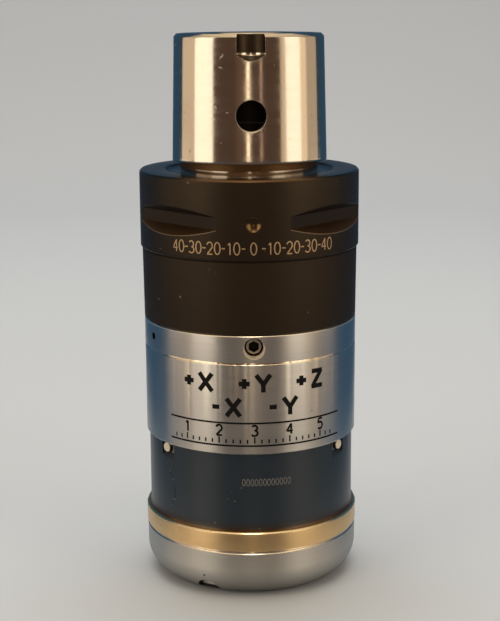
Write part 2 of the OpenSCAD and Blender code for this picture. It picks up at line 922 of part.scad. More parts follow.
// A helix of round wire about the axis, swept as one closed skin
module coil(r1, r2, z1, z2, turns, wire) {
    sides = 8;
    steps = turns * 20;
    rings = [for (i = [0 : steps]) let (
        t = i / steps,
        a = 360 * turns * t,
        r = r1 + (r2 - r1) * t,
        z = z1 + (z2 - z1) * t
    ) [for (k = [0 : sides - 1]) let (b = 360 * k / sides) [
        (r + wire / 2 * cos(b)) * cos(a),
        (r + wire / 2 * cos(b)) * sin(a),
        z + wire / 2 * sin(b)
    ]]];
    points = [for (ring_points = rings) for (p = ring_points) p];
    walls = [for (i = [0 : steps - 1]) for (k = [0 : sides - 1]) let (n = (k + 1) % sides)
        [i * sides + k, i * sides + n, (i + 1) * sides + n, (i + 1) * sides + k]];
    first = [[for (k = [sides - 1 : -1 : 0]) k]];
    last = [[for (k = [0 : sides - 1]) steps * sides + k]];
    polyhedron(points, concat(walls, first, last), convexity = turns);
}

// A cone spring that presses the eyelid on its seat in the cover
module eyelid_spring() {
    wire = 0.5;
    low_r = stem_d / 2 + 1.2;
    low_z = seat_z - sqrt(pow(lid_r - lid_t, 2) - pow(low_r, 2)) + wire;
    color([0.7, 0.7, 0.7])
        coil(low_r, diaphragm_d / 2 - 3.8, low_z, diaphragm_z - wire, 3, wire);
}

// A thin rubber disc with one roll between its clamped edge and the holder
module outer_diaphragm() {
    roll_r = 1.6;
    roll_at = (stem_d / 2 + diaphragm_d / 2 - 3) / 2;
    roll_sink = 0.6;
    color([0.10, 0.10, 0.10])
        translate([0, 0, diaphragm_z])
            rotate_extrude()
                difference() {
                    union() {
                        translate([stem_d / 2 + seat_gap, seat_gap])
                            square([diaphragm_d / 2 - stem_d / 2 - seat_gap,
                                    diaphragm_t - 2 * seat_gap]);
                        translate([roll_at, roll_sink])
                            circle(r = roll_r);
                    }
                    translate([roll_at, roll_sink])
                        circle(r = roll_r - diaphragm_t + 2 * seat_gap);
                    translate([roll_at - roll_r, diaphragm_t - seat_gap])
                        square([2 * roll_r, roll_r + 1]);
                }
}

module return_spring() {
    color([0.7, 0.7, 0.7])
        coil(spring_r, spring_r, spring_z + spring_wire / 2, plug_z - spring_wire / 2 - seat_gap,
             spring_turns, spring_wire);
}

module spring_plug() {
    color([0.55, 0.54, 0.52])
        difference() {
            translate([0, 0, plug_z])
                cylinder(r = plug_r, h = plug_len);
            translate([0, 0, plug_z + plug_len / 2])
                cylinder(d = plug_af / cos(30), h = plug_len, $fn = 6);
        }
}

tool_holder();
centring_screws();
clamp_screws();
mounting_collar();
collar_bolts();
body_sleeve();
signal_window();
status_led_left();
status_led_right();
status_led_rear();
clamp_ring();
front_cover();
cover_seal();
window_seal_front();
window_seal_rear();
chassis();
antenna_ring();
main_board();
board_parts();
board_screws();
battery_cassette();
battery_1();
battery_2();
battery_contacts();
seat_plate();
seat_balls();
strain_gauges();
diaphragm_clamp();
stylus_carrier();
carrier_rollers();
stylus_holder();
eyelid();
eyelid_spring();
outer_diaphragm();
return_spring();
spring_plug();
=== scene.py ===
"""Looks of a radio touch probe on a tool holder with a three-lobed shank.

Metres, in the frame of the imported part: origin at the centre of the front face,
+Z towards the shank, -Y is the front. An azimuth is counted from the front,
positive towards +X. Bare sizes of the pieces are in mm, those of the stage in metres.
"""

import json
import math

import bmesh
import bpy
import numpy as np
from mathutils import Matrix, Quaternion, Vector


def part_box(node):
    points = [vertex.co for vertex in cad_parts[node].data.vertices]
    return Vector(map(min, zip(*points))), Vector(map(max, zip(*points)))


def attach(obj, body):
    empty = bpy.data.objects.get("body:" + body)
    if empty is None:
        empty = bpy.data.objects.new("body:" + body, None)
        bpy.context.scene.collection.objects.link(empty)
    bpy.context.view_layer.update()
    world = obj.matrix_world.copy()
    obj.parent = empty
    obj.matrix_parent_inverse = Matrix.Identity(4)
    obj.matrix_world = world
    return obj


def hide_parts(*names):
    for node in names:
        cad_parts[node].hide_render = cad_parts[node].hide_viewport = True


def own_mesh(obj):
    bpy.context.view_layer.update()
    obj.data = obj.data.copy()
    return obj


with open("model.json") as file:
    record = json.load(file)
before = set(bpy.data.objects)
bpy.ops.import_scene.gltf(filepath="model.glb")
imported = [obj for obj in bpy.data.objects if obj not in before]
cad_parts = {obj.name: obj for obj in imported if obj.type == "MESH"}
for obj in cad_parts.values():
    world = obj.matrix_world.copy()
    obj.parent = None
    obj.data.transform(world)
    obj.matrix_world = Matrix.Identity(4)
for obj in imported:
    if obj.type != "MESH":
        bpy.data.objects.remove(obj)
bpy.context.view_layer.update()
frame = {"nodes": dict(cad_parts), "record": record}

MM = 0.001
ROUND = 360
RNG = np.random.default_rng(7)


def levels(node):
    """Lower end, upper end and outer radius of a turned CAD node."""
    low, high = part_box(node)
    return low.z, high.z, high.x


COVER_TOP, COVER_R = levels("front_cover")[1:]
RING_Z, RING_TOP, RING_R = levels("clamp_ring")
WINDOW_Z, WINDOW_TOP, WINDOW_R = levels("signal_window")
SLEEVE_Z, SLEEVE_TOP, SLEEVE_R = levels("body_sleeve")
COLLAR_TOP = levels("mounting_collar")[1]
SPIGOT_Z, TOP_Z, FLANGE_R = levels("tool_holder")
GAUGE_Z = TOP_Z - 38 * MM
FLANGE_Z = GAUGE_Z - 22 * MM
SLOT_Z = GAUGE_Z - 11.8 * MM
GRUB_Z = COLLAR_TOP - 3.7 * MM

# Sizes in mm and degrees that more than one function needs
EDGE_CUT = 0.35
SLOT_AZIMUTHS = (47.5, -47.5, 132.5, -132.5)
SLOT_FLOOR = 27.6
SLOT_FLANK = math.tan(math.radians(30))
CENTRING_AZIMUTHS = (0, 90, 180, 270)
CLAMP_AZIMUTHS = (135, 225)
SCREW_SIDES = 48
LAMPS = (("status_led_left", -47, -1), ("status_led_right", 47, 1), ("status_led_rear", 180, 1))


# Geometry helpers

def rounded(corners, steps=5):
    """Profile of straight lines with round corners. Each corner (r, z, radius) in mm
    gives way to an arc of that radius that is tangent to both lines."""
    corners = np.asarray(corners, float)
    points, out = corners[:, :2], []
    for i, radius in enumerate(corners[:, 2]):
        p = points[i]
        if radius == 0:
            out.append(p[None])
            continue
        u, v = points[i - 1] - p, points[(i + 1) % len(points)] - p
        u, v = u / np.hypot(*u), v / np.hypot(*v)
        half = math.acos(np.clip(u @ v, -1, 1)) / 2
        centre = p + (u + v) / np.hypot(*(u + v)) * radius / math.sin(half)
        s, e = p + u * radius / math.tan(half) - centre, p + v * radius / math.tan(half) - centre
        turn = math.atan2(s[0] * e[1] - s[1] * e[0], s @ e) * np.linspace(0, 1, steps)
        out.append(centre + np.stack([s[0] * np.cos(turn) - s[1] * np.sin(turn),
                                      s[0] * np.sin(turn) + s[1] * np.cos(turn)], -1))
    return np.concatenate(out) * MM


def grid_faces(rows, cols, wrap_rows, wrap_cols):
    """Quads between neighbours of a rows by cols grid of points."""
    i = np.arange(rows if wrap_rows else rows - 1)[:, None]
    j = np.arange(cols if wrap_cols else cols - 1)[None]
    i2, j2 = (i + 1) % rows, (j + 1) % cols
    return np.stack([i * cols + j, i * cols + j2, i2 * cols + j2, i2 * cols + j], -1).reshape(-1, 4)


def mesh_object(name, verts, faces, merge=True):
    """Mesh object at the origin from lists of points and faces, with outward normals. Points
    that coincide are joined first, unless merge is off."""
    mesh = bpy.data.meshes.new(name)
    mesh.from_pydata(verts, [], faces)
    work = bmesh.new()
    work.from_mesh(mesh)
    if merge:
        bmesh.ops.remove_doubles(work, verts=work.verts, dist=1e-8)
        bmesh.ops.dissolve_degenerate(work, edges=work.edges, dist=1e-9)
    bmesh.ops.recalc_face_normals(work, faces=work.faces)
    work.to_mesh(mesh)
    work.free()
    obj = bpy.data.objects.new(name, mesh)
    bpy.context.scene.collection.objects.link(obj)
    return obj


def piece(name, verts, faces, sharp=30):
    """Smooth mesh object from arrays of points and faces, with hard edges above the angle."""
    obj = mesh_object(name, np.asarray(verts).tolist(), np.asarray(faces).tolist())
    shade(obj, sharp)
    return obj


def shade(obj, sharp):
    """Smooth faces, hard edges above the angle."""
    mesh = obj.data
    mesh.polygons.foreach_set("use_smooth", np.full(len(mesh.polygons), True))
    mesh.set_sharp_from_angle(angle=math.radians(sharp))


def revolve(name, profile, cols=ROUND):
    """Turned piece with a closed profile."""
    return piece(name, *turned(profile, True, cols))


def turned(profile, closed, cols):
    """Points and faces of a turned body: profile points (r, z) carried round Z, so a point is
    (r cos t, r sin t, z). An open profile starts and ends on the axis."""
    t = np.linspace(0, 2 * np.pi, cols, endpoint=False)
    r, z = np.asarray(profile)[:, :1], np.asarray(profile)[:, 1:]
    verts = np.stack([r * np.cos(t), r * np.sin(t), z + 0 * t], -1).reshape(-1, 3)
    return verts, grid_faces(len(profile), cols, closed, True)


def radial(verts, azimuth, z):
    """Points turned from local axes to a place on the side of the part: local Z points
    outward at that azimuth, local Y up, local X to the right."""
    a = math.radians(azimuth)
    axes = np.array([[math.cos(a), math.sin(a), 0], [0, 0, 1], [math.sin(a), -math.cos(a), 0]])
    return np.asarray(verts) @ axes + np.array([0, 0, z])


def drill(profile, azimuth, z, cols=64):
    """Cutter for a radial hole: profile (radius, distance from the axis) in mm, turned."""
    verts, faces = turned(np.array(profile) * MM, False, cols)
    return piece("cutter", radial(verts, azimuth, z), faces)


def prism(outline, low, high, azimuth, z):
    """Cutter of straight section: outline (height, distance from the axis) in mm, drawn out
    along the tangent from low to high."""
    o = np.array(outline) * MM
    n = len(o)
    verts = np.concatenate([np.c_[np.full(n, x * MM), o] for x in (low, high)])
    faces = grid_faces(2, n, False, True).tolist()
    faces += [list(range(n)), list(range(2 * n - 1, n - 1, -1))]
    return mesh_object("cutter", radial(verts, azimuth, z).tolist(), faces, merge=False)


def cut(obj, cutters, sharp=30):
    """Takes the cutters out of a piece with exact booleans and removes them."""
    for cutter in cutters:
        step = obj.modifiers.new("cut", "BOOLEAN")
        step.operation, step.solver, step.object = "DIFFERENCE", "EXACT", cutter
    graph = bpy.context.evaluated_depsgraph_get()
    mesh = bpy.data.meshes.new_from_object(obj.evaluated_get(graph))
    obj.modifiers.clear()
    old, obj.data = obj.data, mesh
    mesh.name = obj.name
    bpy.data.meshes.remove(old)
    for cutter in cutters:
        data = cutter.data
        bpy.data.objects.remove(cutter)
        bpy.data.meshes.remove(data)
    mesh.materials.clear()
    shade(obj, sharp)


def faces_of(obj):
    """Centres of the faces in mm and their normals, as rows x, y, z."""
    mesh = obj.data
    both = np.empty((2, len(mesh.polygons) * 3))
    mesh.polygons.foreach_get("center", both[0])
    mesh.polygons.foreach_get("normal", both[1])
    return both[0].reshape(-1, 3).T / MM, both[1].reshape(-1, 3).T


def paint_faces(obj, index):
    """Material number of each face."""
    obj.data.polygons.foreach_set("material_index", index.astype(int))


def round_faces(obj):
    """Of each face: height and distance from the axis in mm, and the shares of its normal that
    point outward, sideways and up."""
    (x, y, h), (nx, ny, up) = faces_of(obj)
    rr = np.hypot(x, y)
    return h, rr, (x * nx + y * ny) / rr, np.abs(x * ny - y * nx) / rr, up


def edge_faces(obj, inside):
    """True for the slanting faces of a turned body's outer edges."""
    _, rr, _, _, up = round_faces(obj)
    return (np.abs(up) > 0.15) & (np.abs(up) < 0.97) & (rr > inside)


def outer_wall(r, low, high, soft):
    """Profile corners of an outer wall whose two ends have a small slanting cut."""
    return [(r - EDGE_CUT, low, 0.05), (r, low + EDGE_CUT, soft), (r, high - EDGE_CUT, soft),
            (r - EDGE_CUT, high, 0.05)]


def place(obj, node, slot, *materials, body="housing"):
    """The piece stands for a CAD node, rides its body and takes its materials."""
    for material in materials:
        obj.data.materials.append(material)
    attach(obj, body)
    if node:
        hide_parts(node)


# Material helpers

class Finish:
    """A procedural material on Object coordinates, built round one Principled shader."""

    def __init__(self, name, colour, metallic=0.0, roughness=0.5, **inputs):
        self.material = bpy.data.materials.new(name)
        self.material.use_nodes = True
        self.tree = self.material.node_tree
        self.shader = self.tree.nodes["Principled BSDF"]
        self.paint = (*colour, 1)
        self.set("Base Color", self.paint)
        self.set("Metallic", metallic)
        self.set("Roughness", roughness)
        for key, value in inputs.items():
            self.set(key.replace("_", " "), value)

    def set(self, socket, value):
        """Constant on a socket of the shader."""
        self.shader.inputs[socket].default_value = value

    def feed(self, output, socket):
        """Link from an output to a socket of the shader."""
        self.tree.links.new(output, self.shader.inputs[socket])

    def node(self, kind, links=(), **values):
        """New node with constants or links on its sockets, by name or number."""
        made = self.tree.nodes.new(kind)
        for key, value in values.items():
            setattr(made, key, value)
        for socket, value in links:
            if isinstance(value, bpy.types.NodeSocket):
                self.tree.links.new(value, made.inputs[socket])
            else:
                made.inputs[socket].default_value = value
        return made

    def place(self, scale):
        """Object coordinates times a scale."""
        source = self.node("ShaderNodeTexCoord").outputs["Object"]
        links = [(0, source), (1, scale)]
        return self.node("ShaderNodeVectorMath", links, operation="MULTIPLY").outputs[0]

    def noise(self, scale, detail=3.0, rough=0.55):
        """Noise with a frequency per metre for each axis."""
        links = [("Vector", self.place(scale)), ("Scale", 1.0), ("Detail", detail),
                 ("Roughness", rough)]
        return self.node("ShaderNodeTexNoise", links).outputs["Fac"]

    def span(self, value, low, high, to_low=0.0, to_high=1.0):
        """Value mapped from one range to another, clamped."""
        links = [("Value", value), ("From Min", low), ("From Max", high), ("To Min", to_low),
                 ("To Max", to_high)]
        return self.node("ShaderNodeMapRange", links).outputs["Result"]

    def math(self, operation, a, b):
        """Two values joined by an operation."""
        return self.node("ShaderNodeMath", [(0, a), (1, b)], operation=operation).outputs[0]

    def height(self):
        """Height in the part in metres."""
        source = self.node("ShaderNodeTexCoord").outputs["Object"]
        return self.node("ShaderNodeSeparateXYZ", [(0, source)]).outputs["Z"]

    def over(self, amount, colour):
        """Lays a colour over what is there, by an amount from 0 to 1."""
        links = [(0, amount), (6, self.paint), (7, (*colour, 1))]
        self.paint = self.node("ShaderNodeMix", links, data_type="RGBA").outputs[2]
        self.feed(self.paint, "Base Color")

    def rough(self, value, low, high, at_low, at_high):
        """Roughness driven by a value."""
        self.feed(self.span(value, low, high, at_low, at_high), "Roughness")

    def bump(self, value, depth, bevel=0.0):
        """Small relief from a value, depth in metres, on edges softened by a bevel radius."""
        links = [("Height", value), ("Distance", depth), ("Strength", 1.0)]
        if bevel:
            soft = self.node("ShaderNodeBevel", [("Radius", bevel)], samples=6)
            links.append(("Normal", soft.outputs[0]))
        self.feed(self.node("ShaderNodeBump", links).outputs[0], "Normal")

    def turned(self, amount):
        """Stretches highlights along the axis, as fine turning lines do."""
        self.set("Anisotropic", amount)
        self.set("Anisotropic Rotation", 0.25)
        tangent = self.node("ShaderNodeTangent", direction_type="RADIAL", axis="Z")
        self.feed(tangent.outputs[0], "Tangent")

    def specks(self, per_metre, limit, colour, strength=1.0):
        """Sparse light dust or nicks."""
        spots = self.noise((per_metre,) * 3, 2.0, 0.5)
        self.over(self.span(spots, limit, limit + 0.03, 0.0, strength), colour)


def ground_steel():
    """Ground and polished steel of the shank, with handling marks."""
    f = Finish("ground_steel", (0.60, 0.545, 0.47), 1.0, 0.10)
    cloud = f.noise((45, 45, 60), 4.0)
    f.over(f.span(cloud, 0.52, 0.72, 0.0, 0.35), (0.50, 0.43, 0.35))
    lines = f.noise((60, 60, 2600), 3.0)
    f.over(f.span(lines, 0.55, 0.8, 0.0, 0.18), (0.70, 0.65, 0.58))
    f.specks(900, 0.735, (0.25, 0.18, 0.12), 0.7)
    dust = f.span(f.noise((560, 560, 560), 2.0, 0.5), 0.735, 0.77, 0.0, 0.7)
    even = f.span(f.noise((80, 80, 900), 3.0), 0.3, 0.7, 0.09, 0.16)
    f.feed(f.math("MAXIMUM", even, dust), "Roughness")
    f.bump(lines, 1.2e-6, 0.12 * MM)
    return f.material


def black_oxide():
    """Blackened steel with a brown sheen. The barrel is duller than the flange."""
    f = Finish("black_oxide", (0.0125, 0.0075, 0.0042), 0.0, 0.46, Specular_IOR_Level=0.5,
               Specular_Tint=(1.0, 0.76, 0.54, 1))
    f.over(f.span(f.noise((70, 70, 110), 4.0), 0.5, 0.75, 0.0, 0.5), (0.0105, 0.007, 0.0046))
    lines = f.noise((30, 30, 2400), 3.0)
    f.over(f.span(lines, 0.6, 0.85, 0.0, 0.3), (0.020, 0.013, 0.008))
    f.specks(620, 0.745, (0.26, 0.21, 0.16), 0.7)
    barrel = f.span(f.height(), FLANGE_Z - 0.2 * MM, FLANGE_Z, 0.10, 0.0)
    value = f.span(lines, 0.3, 0.7, 0.42, 0.50)
    f.feed(f.math("ADD", value, barrel), "Roughness")
    f.bump(lines, 1e-6, 0.14 * MM)
    f.turned(0.35)
    return f.material


def ground_black():
    """Ground face of the flange: dark bronze, almost a mirror at a low angle."""
    f = Finish("ground_black", (0.13, 0.076, 0.039), 1.0, 0.25)
    f.over(f.span(f.noise((70, 70, 110), 4.0), 0.5, 0.75, 0.0, 0.5), (0.115, 0.072, 0.038))
    f.specks(620, 0.745, (0.26, 0.21, 0.16), 0.7)
    return f.material


def brushed_steel():
    """Stainless steel brushed round the axis."""
    f = Finish("brushed_steel", (0.70, 0.675, 0.645), 1.0, 0.45)
    wide = f.noise((9, 9, 900), 4.0, 0.6)
    fine = f.noise((25, 25, 5200), 3.0, 0.6)
    f.over(f.span(wide, 0.5, 0.75, 0.0, 0.4), (0.57, 0.55, 0.525))
    f.over(f.span(fine, 0.5, 0.8, 0.0, 0.4), (0.83, 0.80, 0.77))
    f.specks(700, 0.75, (0.20, 0.16, 0.12), 0.7)
    f.rough(wide, 0.3, 0.7, 0.33, 0.42)
    f.bump(fine, 1.2e-6, 0.1 * MM)
    f.turned(0.9)
    return f.material


def dark_window():
    """Slate-coloured window with a soft gloss, brown towards its foot as a painted reflection of
    the gold ring below.
    """
    f = Finish("dark_window", (0.0145, 0.0250, 0.0380), 0.0, 0.38, Specular_IOR_Level=0.62)
    f.turned(0.75)
    cloud = f.noise((60, 60, 60), 4.0)
    f.over(f.span(cloud, 0.45, 0.75, 0.0, 0.5), (0.0175, 0.0285, 0.0425))
    # Painted reflection: brown towards the window's foot, for the gold ring below it.
    foot = f.span(f.height(), WINDOW_Z + 2.9 * MM, WINDOW_Z + 0.8 * MM, 0.0, 0.9)
    f.over(foot, (0.026, 0.014, 0.008))
    f.specks(520, 0.755, (0.20, 0.20, 0.20), 0.5)
    f.bump(f.noise((900, 900, 900), 2.0), 2e-6, 0.1 * MM)
    return f.material


def gold_ring():
    """Satin gold-bronze, turned."""
    f = Finish("gold_ring", (0.88, 0.61, 0.31), 1.0, 0.36)
    lines = f.noise((18, 18, 4200), 3.0)
    f.over(f.span(lines, 0.5, 0.8, 0.0, 0.35), (0.98, 0.73, 0.42))
    f.over(f.span(f.noise((120, 120, 200), 4.0), 0.55, 0.75, 0.0, 0.35), (0.68, 0.47, 0.24))
    f.rough(lines, 0.3, 0.7, 0.32, 0.42)
    f.bump(lines, 1.2e-6, 0.1 * MM)
    f.turned(0.85)
    return f.material


def blasted_metal():
    """Bead-blasted steel, finely grained, darker towards the foot by painted shade."""
    f = Finish("blasted_metal", (0.56, 0.545, 0.52), 1.0, 0.47)
    grain = f.noise((2600, 2600, 2600), 3.0, 0.6)
    f.over(f.span(grain, 0.42, 0.7, 0.0, 0.4), (0.67, 0.65, 0.62))
    f.over(f.span(f.noise((90, 90, 90), 4.0), 0.5, 0.75, 0.0, 0.3), (0.48, 0.465, 0.445))
    f.over(f.span(f.noise((14, 14, 2400), 3.0), 0.5, 0.75, 0.0, 0.3), (0.44, 0.425, 0.405))
    # Painted shade: the cover darkens towards its foot.
    f.over(f.span(f.height(), 9 * MM, 1.2 * MM, 0.0, 0.95), (0.17, 0.175, 0.18))
    f.rough(grain, 0.3, 0.7, 0.44, 0.54)
    f.bump(grain, 5e-6, 0.15 * MM)
    f.turned(0.8)
    return f.material


def notch_wall():
    """End wall of the spanner slots: painted light above, painted shadow below."""
    f = Finish("notch_wall", (0.022, 0.022, 0.026), 0.5, 0.5)
    f.over(f.span(f.height(), 1.15 * MM, 1.45 * MM), (0.75, 0.73, 0.70))
    return f.material


def plain(name, colour, metallic=0.0, roughness=0.5, grain=600.0, change=0.35, **inputs):
    """Even finish with a slight cloud of lighter or darker places."""
    f = Finish(name, colour, metallic, roughness, **inputs)
    darker = tuple(c * (1 - change) for c in colour)
    f.over(f.span(f.noise((grain,) * 3, 3.0), 0.45, 0.75, 0.0, 0.6), darker)
    return f.material


STEEL = ground_steel()
BLACK = black_oxide()
BLACK_TOP = ground_black()
BRUSHED = brushed_steel()
WINDOW = dark_window()
GOLD = gold_ring()
BLASTED = blasted_metal()
LIT_AND_SHADED_WALL = notch_wall()
LAMP = plain("lamp", (0.80, 0.71, 0.57), 0.0, 0.25, 900, 0.15, Coat_Weight=0.4)
# Painted reflection of the gold ring: brown gloss with a warm tint on the window's flared foot.
FOOT_REFLECTION = plain("window_foot_reflection", (0.030, 0.015, 0.007), 0.0, 0.28, 900, 0.3, Specular_IOR_Level=1.0,
             Specular_Tint=(1.0, 0.66, 0.38, 1))
SCREW = plain("screw_steel", (0.80, 0.66, 0.46), 1.0, 0.30)
EDGE = plain("worn_edge", (0.90, 0.83, 0.73), 1.0, 0.16, 900, 0.3)
GOLD_EDGE = plain("worn_gold_edge", (0.98, 0.80, 0.52), 1.0, 0.16, 900, 0.3)
# Pale, rough metal in the countersinks of the collar's screw holes: painted highlight.
COUNTERSINK_HIGHLIGHT = plain("countersink_highlight", (0.95, 0.87, 0.73), 0.35, 0.5, 900, 0.2)
# Brown steel: on the neck under the shank it is painted shade, darker than the shank's steel; on
# the upward lower flanks of the grip slots it is painted light, lighter than the black oxide.
NECK = plain("brown_steel", (0.14, 0.078, 0.037), 1.0, 0.5, 700, 0.3)
DIMPLE = plain("drilled_dimple", (0.15, 0.092, 0.046), 1.0, 0.24, 900, 0.3)
RECESS = plain("recess_floor", (0.44, 0.35, 0.28), 0.7, 0.3)
INK = plain("ink", (0.007, 0.007, 0.008), 0.0, 0.6, 900, 0.3, Specular_IOR_Level=0.15)
# Very dark steel in the shank's notch and on the sides of the cover's spanner slots: painted shade
# of these recesses.
RECESS_SHADE = plain("recess_shade", (0.065, 0.045, 0.030), 1.0, 0.45, 700, 0.4)
# Near-black in holes, bores, screw sockets and the gaps round the lamps: painted shade.
PAINTED_SHADE = plain("painted_shade", (0.016, 0.011, 0.008), 0.6, 0.42, 500, 0.4)
TAN = plain("engraving", (0.62, 0.42, 0.24), 0.6, 0.5, 1500, 0.45)
# Lighter brown for ribbons along the lower edges of the grip slots: painted highlight.
SLOT_HIGHLIGHT = plain("slot_edge", (0.24, 0.165, 0.105), 0.6, 0.45, 900, 0.3)
PALE = plain("scratch", (0.32, 0.30, 0.27), 0.3, 0.5)
FAINT = plain("faint_mark", (0.20, 0.19, 0.175), 0.0, 0.6)
BRIGHT = plain("bright_scratch", (0.95, 0.92, 0.86), 0.0, 0.6)
# Near-black for the dark scratches on the window: real scratches, their dark colour painted shade
# in the grooves.
DARK = plain("dark_scratch", (0.006, 0.006, 0.006), 0.0, 0.7, 900, 0.3, Specular_IOR_Level=0.1)
INNER = {
    "blackened_steel": BLACK, "brushed_steel": BRUSHED, "dark_window": WINDOW, "lamp": LAMP,
    "gold_ring": GOLD, "blasted_metal": BLASTED, "screw_steel": SCREW,
    "rubber": plain("rubber", (0.02, 0.02, 0.02), 0.0, 0.7),
    "bright_steel": plain("bright_steel", (0.66, 0.64, 0.62), 1.0, 0.22),
    "alloy": plain("alloy", (0.56, 0.55, 0.53), 1.0, 0.4),
    "board_green": plain("board_green", (0.02, 0.12, 0.06), 0.0, 0.4),
    "black_plastic": plain("black_plastic", (0.025, 0.025, 0.028), 0.0, 0.5),
    "copper": plain("copper", (0.72, 0.40, 0.24), 1.0, 0.3),
    "cell_wrap": plain("cell_wrap", (0.08, 0.13, 0.25), 0.0, 0.4),
}


# Tool holder

def shank_ring(width):
    """Three-lobed curve of constant width, flat towards the front: for an angle g the point is
    w/2 (cos g, sin g) + e (-2 cos 2g + cos 4g, 2 sin 2g + sin 4g), turned back by 90 degrees."""
    gauge_width, gauge_lobe = 43.85, 1.4
    e = gauge_lobe * width / gauge_width
    g = np.linspace(0, 2 * np.pi, ROUND, endpoint=False)
    x = width / 2 * np.cos(g) - 2 * e * np.cos(2 * g) + e * np.cos(4 * g)
    y = width / 2 * np.sin(g) + 2 * e * np.sin(2 * g) + e * np.sin(4 * g)
    return np.stack([y, -x], -1) * MM


def holder():
    """One surface from the spigot's end to the bottom of the drawbar bore: turned rings, then
    rings of the three-lobed curve, then turned rings again. Slots and holes are cut out."""
    z0, g, t, f = SPIGOT_Z / MM, GAUGE_Z / MM, TOP_Z / MM, FLANGE_Z / MM
    j, s, body, fr = COLLAR_TOP / MM, SLOT_Z / MM, SLEEVE_R / MM, FLANGE_R / MM
    c, spigot, barrel, neck, bore, undercut, thread = EDGE_CUT, 18, 31, 19.7, 14, 16, 8.75
    low = rounded([
        (0, z0, 0), (spigot - c, z0, 0.1), (spigot, z0 + c, 0.1), (spigot, j, 0),
        (body - c, j, 0.06), (body, j + c, 0.12), (barrel, f - c, 0.06),
        (barrel - c, f - 0.17, 0), (barrel - c, f, 0), (fr - 0.5, f, 0.1), (fr, f + 0.5, 0.15),
        (fr, g - 0.5, 0.15), (fr - 0.5, g, 0.1), (24.4, g, 0.08), (23.9, g - 0.5, 0.1),
        (neck, g - 0.5, 0), (neck, g + 1, 0), (neck, g + 3, 0)])
    high = rounded([
        (bore + 0.6, t, 0.1), (bore, t - 0.6, 0.1), (bore, g + 20.6, 0.1),
        (undercut, g + 18.6, 0.1), (undercut, g + 11.6, 0.2), (bore, g + 11.6, 0.1),
        (bore, g + 7, 0.2), (thread + 0.65, g + 7, 0.05), (thread, g + 6.35, 0.05),
        (thread, g - 11, 0), (0, g - 14, 0)])
    lobes = [(43.35, g + 3), (43.6, g + 3.03), (43.8, g + 3.15), (43.84, g + 3.3)]
    lobes += zip(np.linspace(43.8, 42.16, 12), np.linspace(g + 4, t - 1.1, 12))
    lobes += [(42.06, t - 0.93), (41.9, t - 0.78), (40.62, t - 0.12), (40.4, t - 0.02), (40.2, t)]
    heading = shank_ring(43.0)
    heading /= np.hypot(*heading.T)[:, None]
    rings = [np.c_[heading * r, np.full(ROUND, z)] for r, z in low]
    rings += [np.c_[shank_ring(w), np.full(ROUND, z * MM)] for w, z in lobes]
    rings += [np.c_[heading * r, np.full(ROUND, z)] for r, z in high]
    obj = piece("holder", np.concatenate(rings), grid_faces(len(rings), ROUND, False, True))

    half, reach = 1.7, 6.0
    wide, rim = half + reach * SLOT_FLANK, SLOT_FLOOR + reach
    slot = [(-half, SLOT_FLOOR), (half, SLOT_FLOOR), (wide, rim), (-wide, rim)]
    cutters = [prism(slot, -30, 30, a, SLOT_Z) for a in SLOT_AZIMUTHS]
    ball, angle = 3.0, np.radians(np.linspace(0, 46.5, 14))
    dimple = np.c_[ball * np.sin(angle), fr + 2.09 - ball * np.cos(angle)]
    cutters.append(drill([*dimple, (2.4, fr + 2), (0, fr + 2)], 0, SLOT_Z))
    side, mouth, side_up = 4.2, 4.75, 16.1
    hole = [(0, 4), (side, 4), (side, 19.95), (mouth, 20.5), (mouth, 30), (0, 30)]
    cutters.append(drill(hole, 0, GAUGE_Z + side_up * MM))
    notch, notch_out, deep = 4.3, 21.25, t - 5.6
    point = notch / math.tan(math.radians(59))
    drilled = [(0, deep - point), (notch, deep), (notch, t - 5.05), (notch, t + 2), (0, t + 2)]
    verts, faces = turned(np.array(drilled) * MM, False, 64)
    cutters.append(piece("cutter", verts + np.array([0, -notch_out * MM, 0]), faces))
    cut(obj, cutters, 24)

    (x, y, z), (_, _, up) = faces_of(obj)
    rr = np.hypot(x, y)
    at_neck = (rr < neck + 0.2) & (z > g - 0.45)
    at_notch = (np.hypot(x, y + notch_out) < notch + 0.15) & (y > -19.5)
    steel, ground, dark, bore_shade, brown, hollow = range(1, 7)
    index = np.where(z > g + 2.95, steel, np.where((z > g - 0.6) & (up > 0.5), ground, 0))
    # The neck under the shank takes the brown steel: painted shade.
    index[at_neck & (z < g + 2.95)] = brown
    index[at_neck & (z < g + 0.9)] = steel
    # The notch walls take the dark steel: painted shade.
    index[at_notch & (z > t - 5.0) & (z < t - 0.02)] = dark
    # The side hole and the drawbar bore take painted shade.
    index[(np.hypot(x, z - g - side_up) < side + 0.1) & (y < 0) & (y > -19.8)] = bore_shade
    index[(rr < undercut + 0.3) & (z < t - 0.7) & (z > g + 0.1)] = bore_shade
    # The upward lower flanks of the grip slots take the brown steel: painted light.
    index[(np.abs(z - s + 4) < 3.2) & (up > 0.3) & (rr > 26)] = brown
    index[(np.hypot(x, z - s) < 2.4) & (y < -27) & (rr < fr - 0.04)] = hollow
    paint_faces(obj, index)
    place(obj, "tool_holder", "blackened_steel",
          BLACK, STEEL, BLACK_TOP, RECESS_SHADE, PAINTED_SHADE, NECK, DIMPLE)


holder()


# Probe body

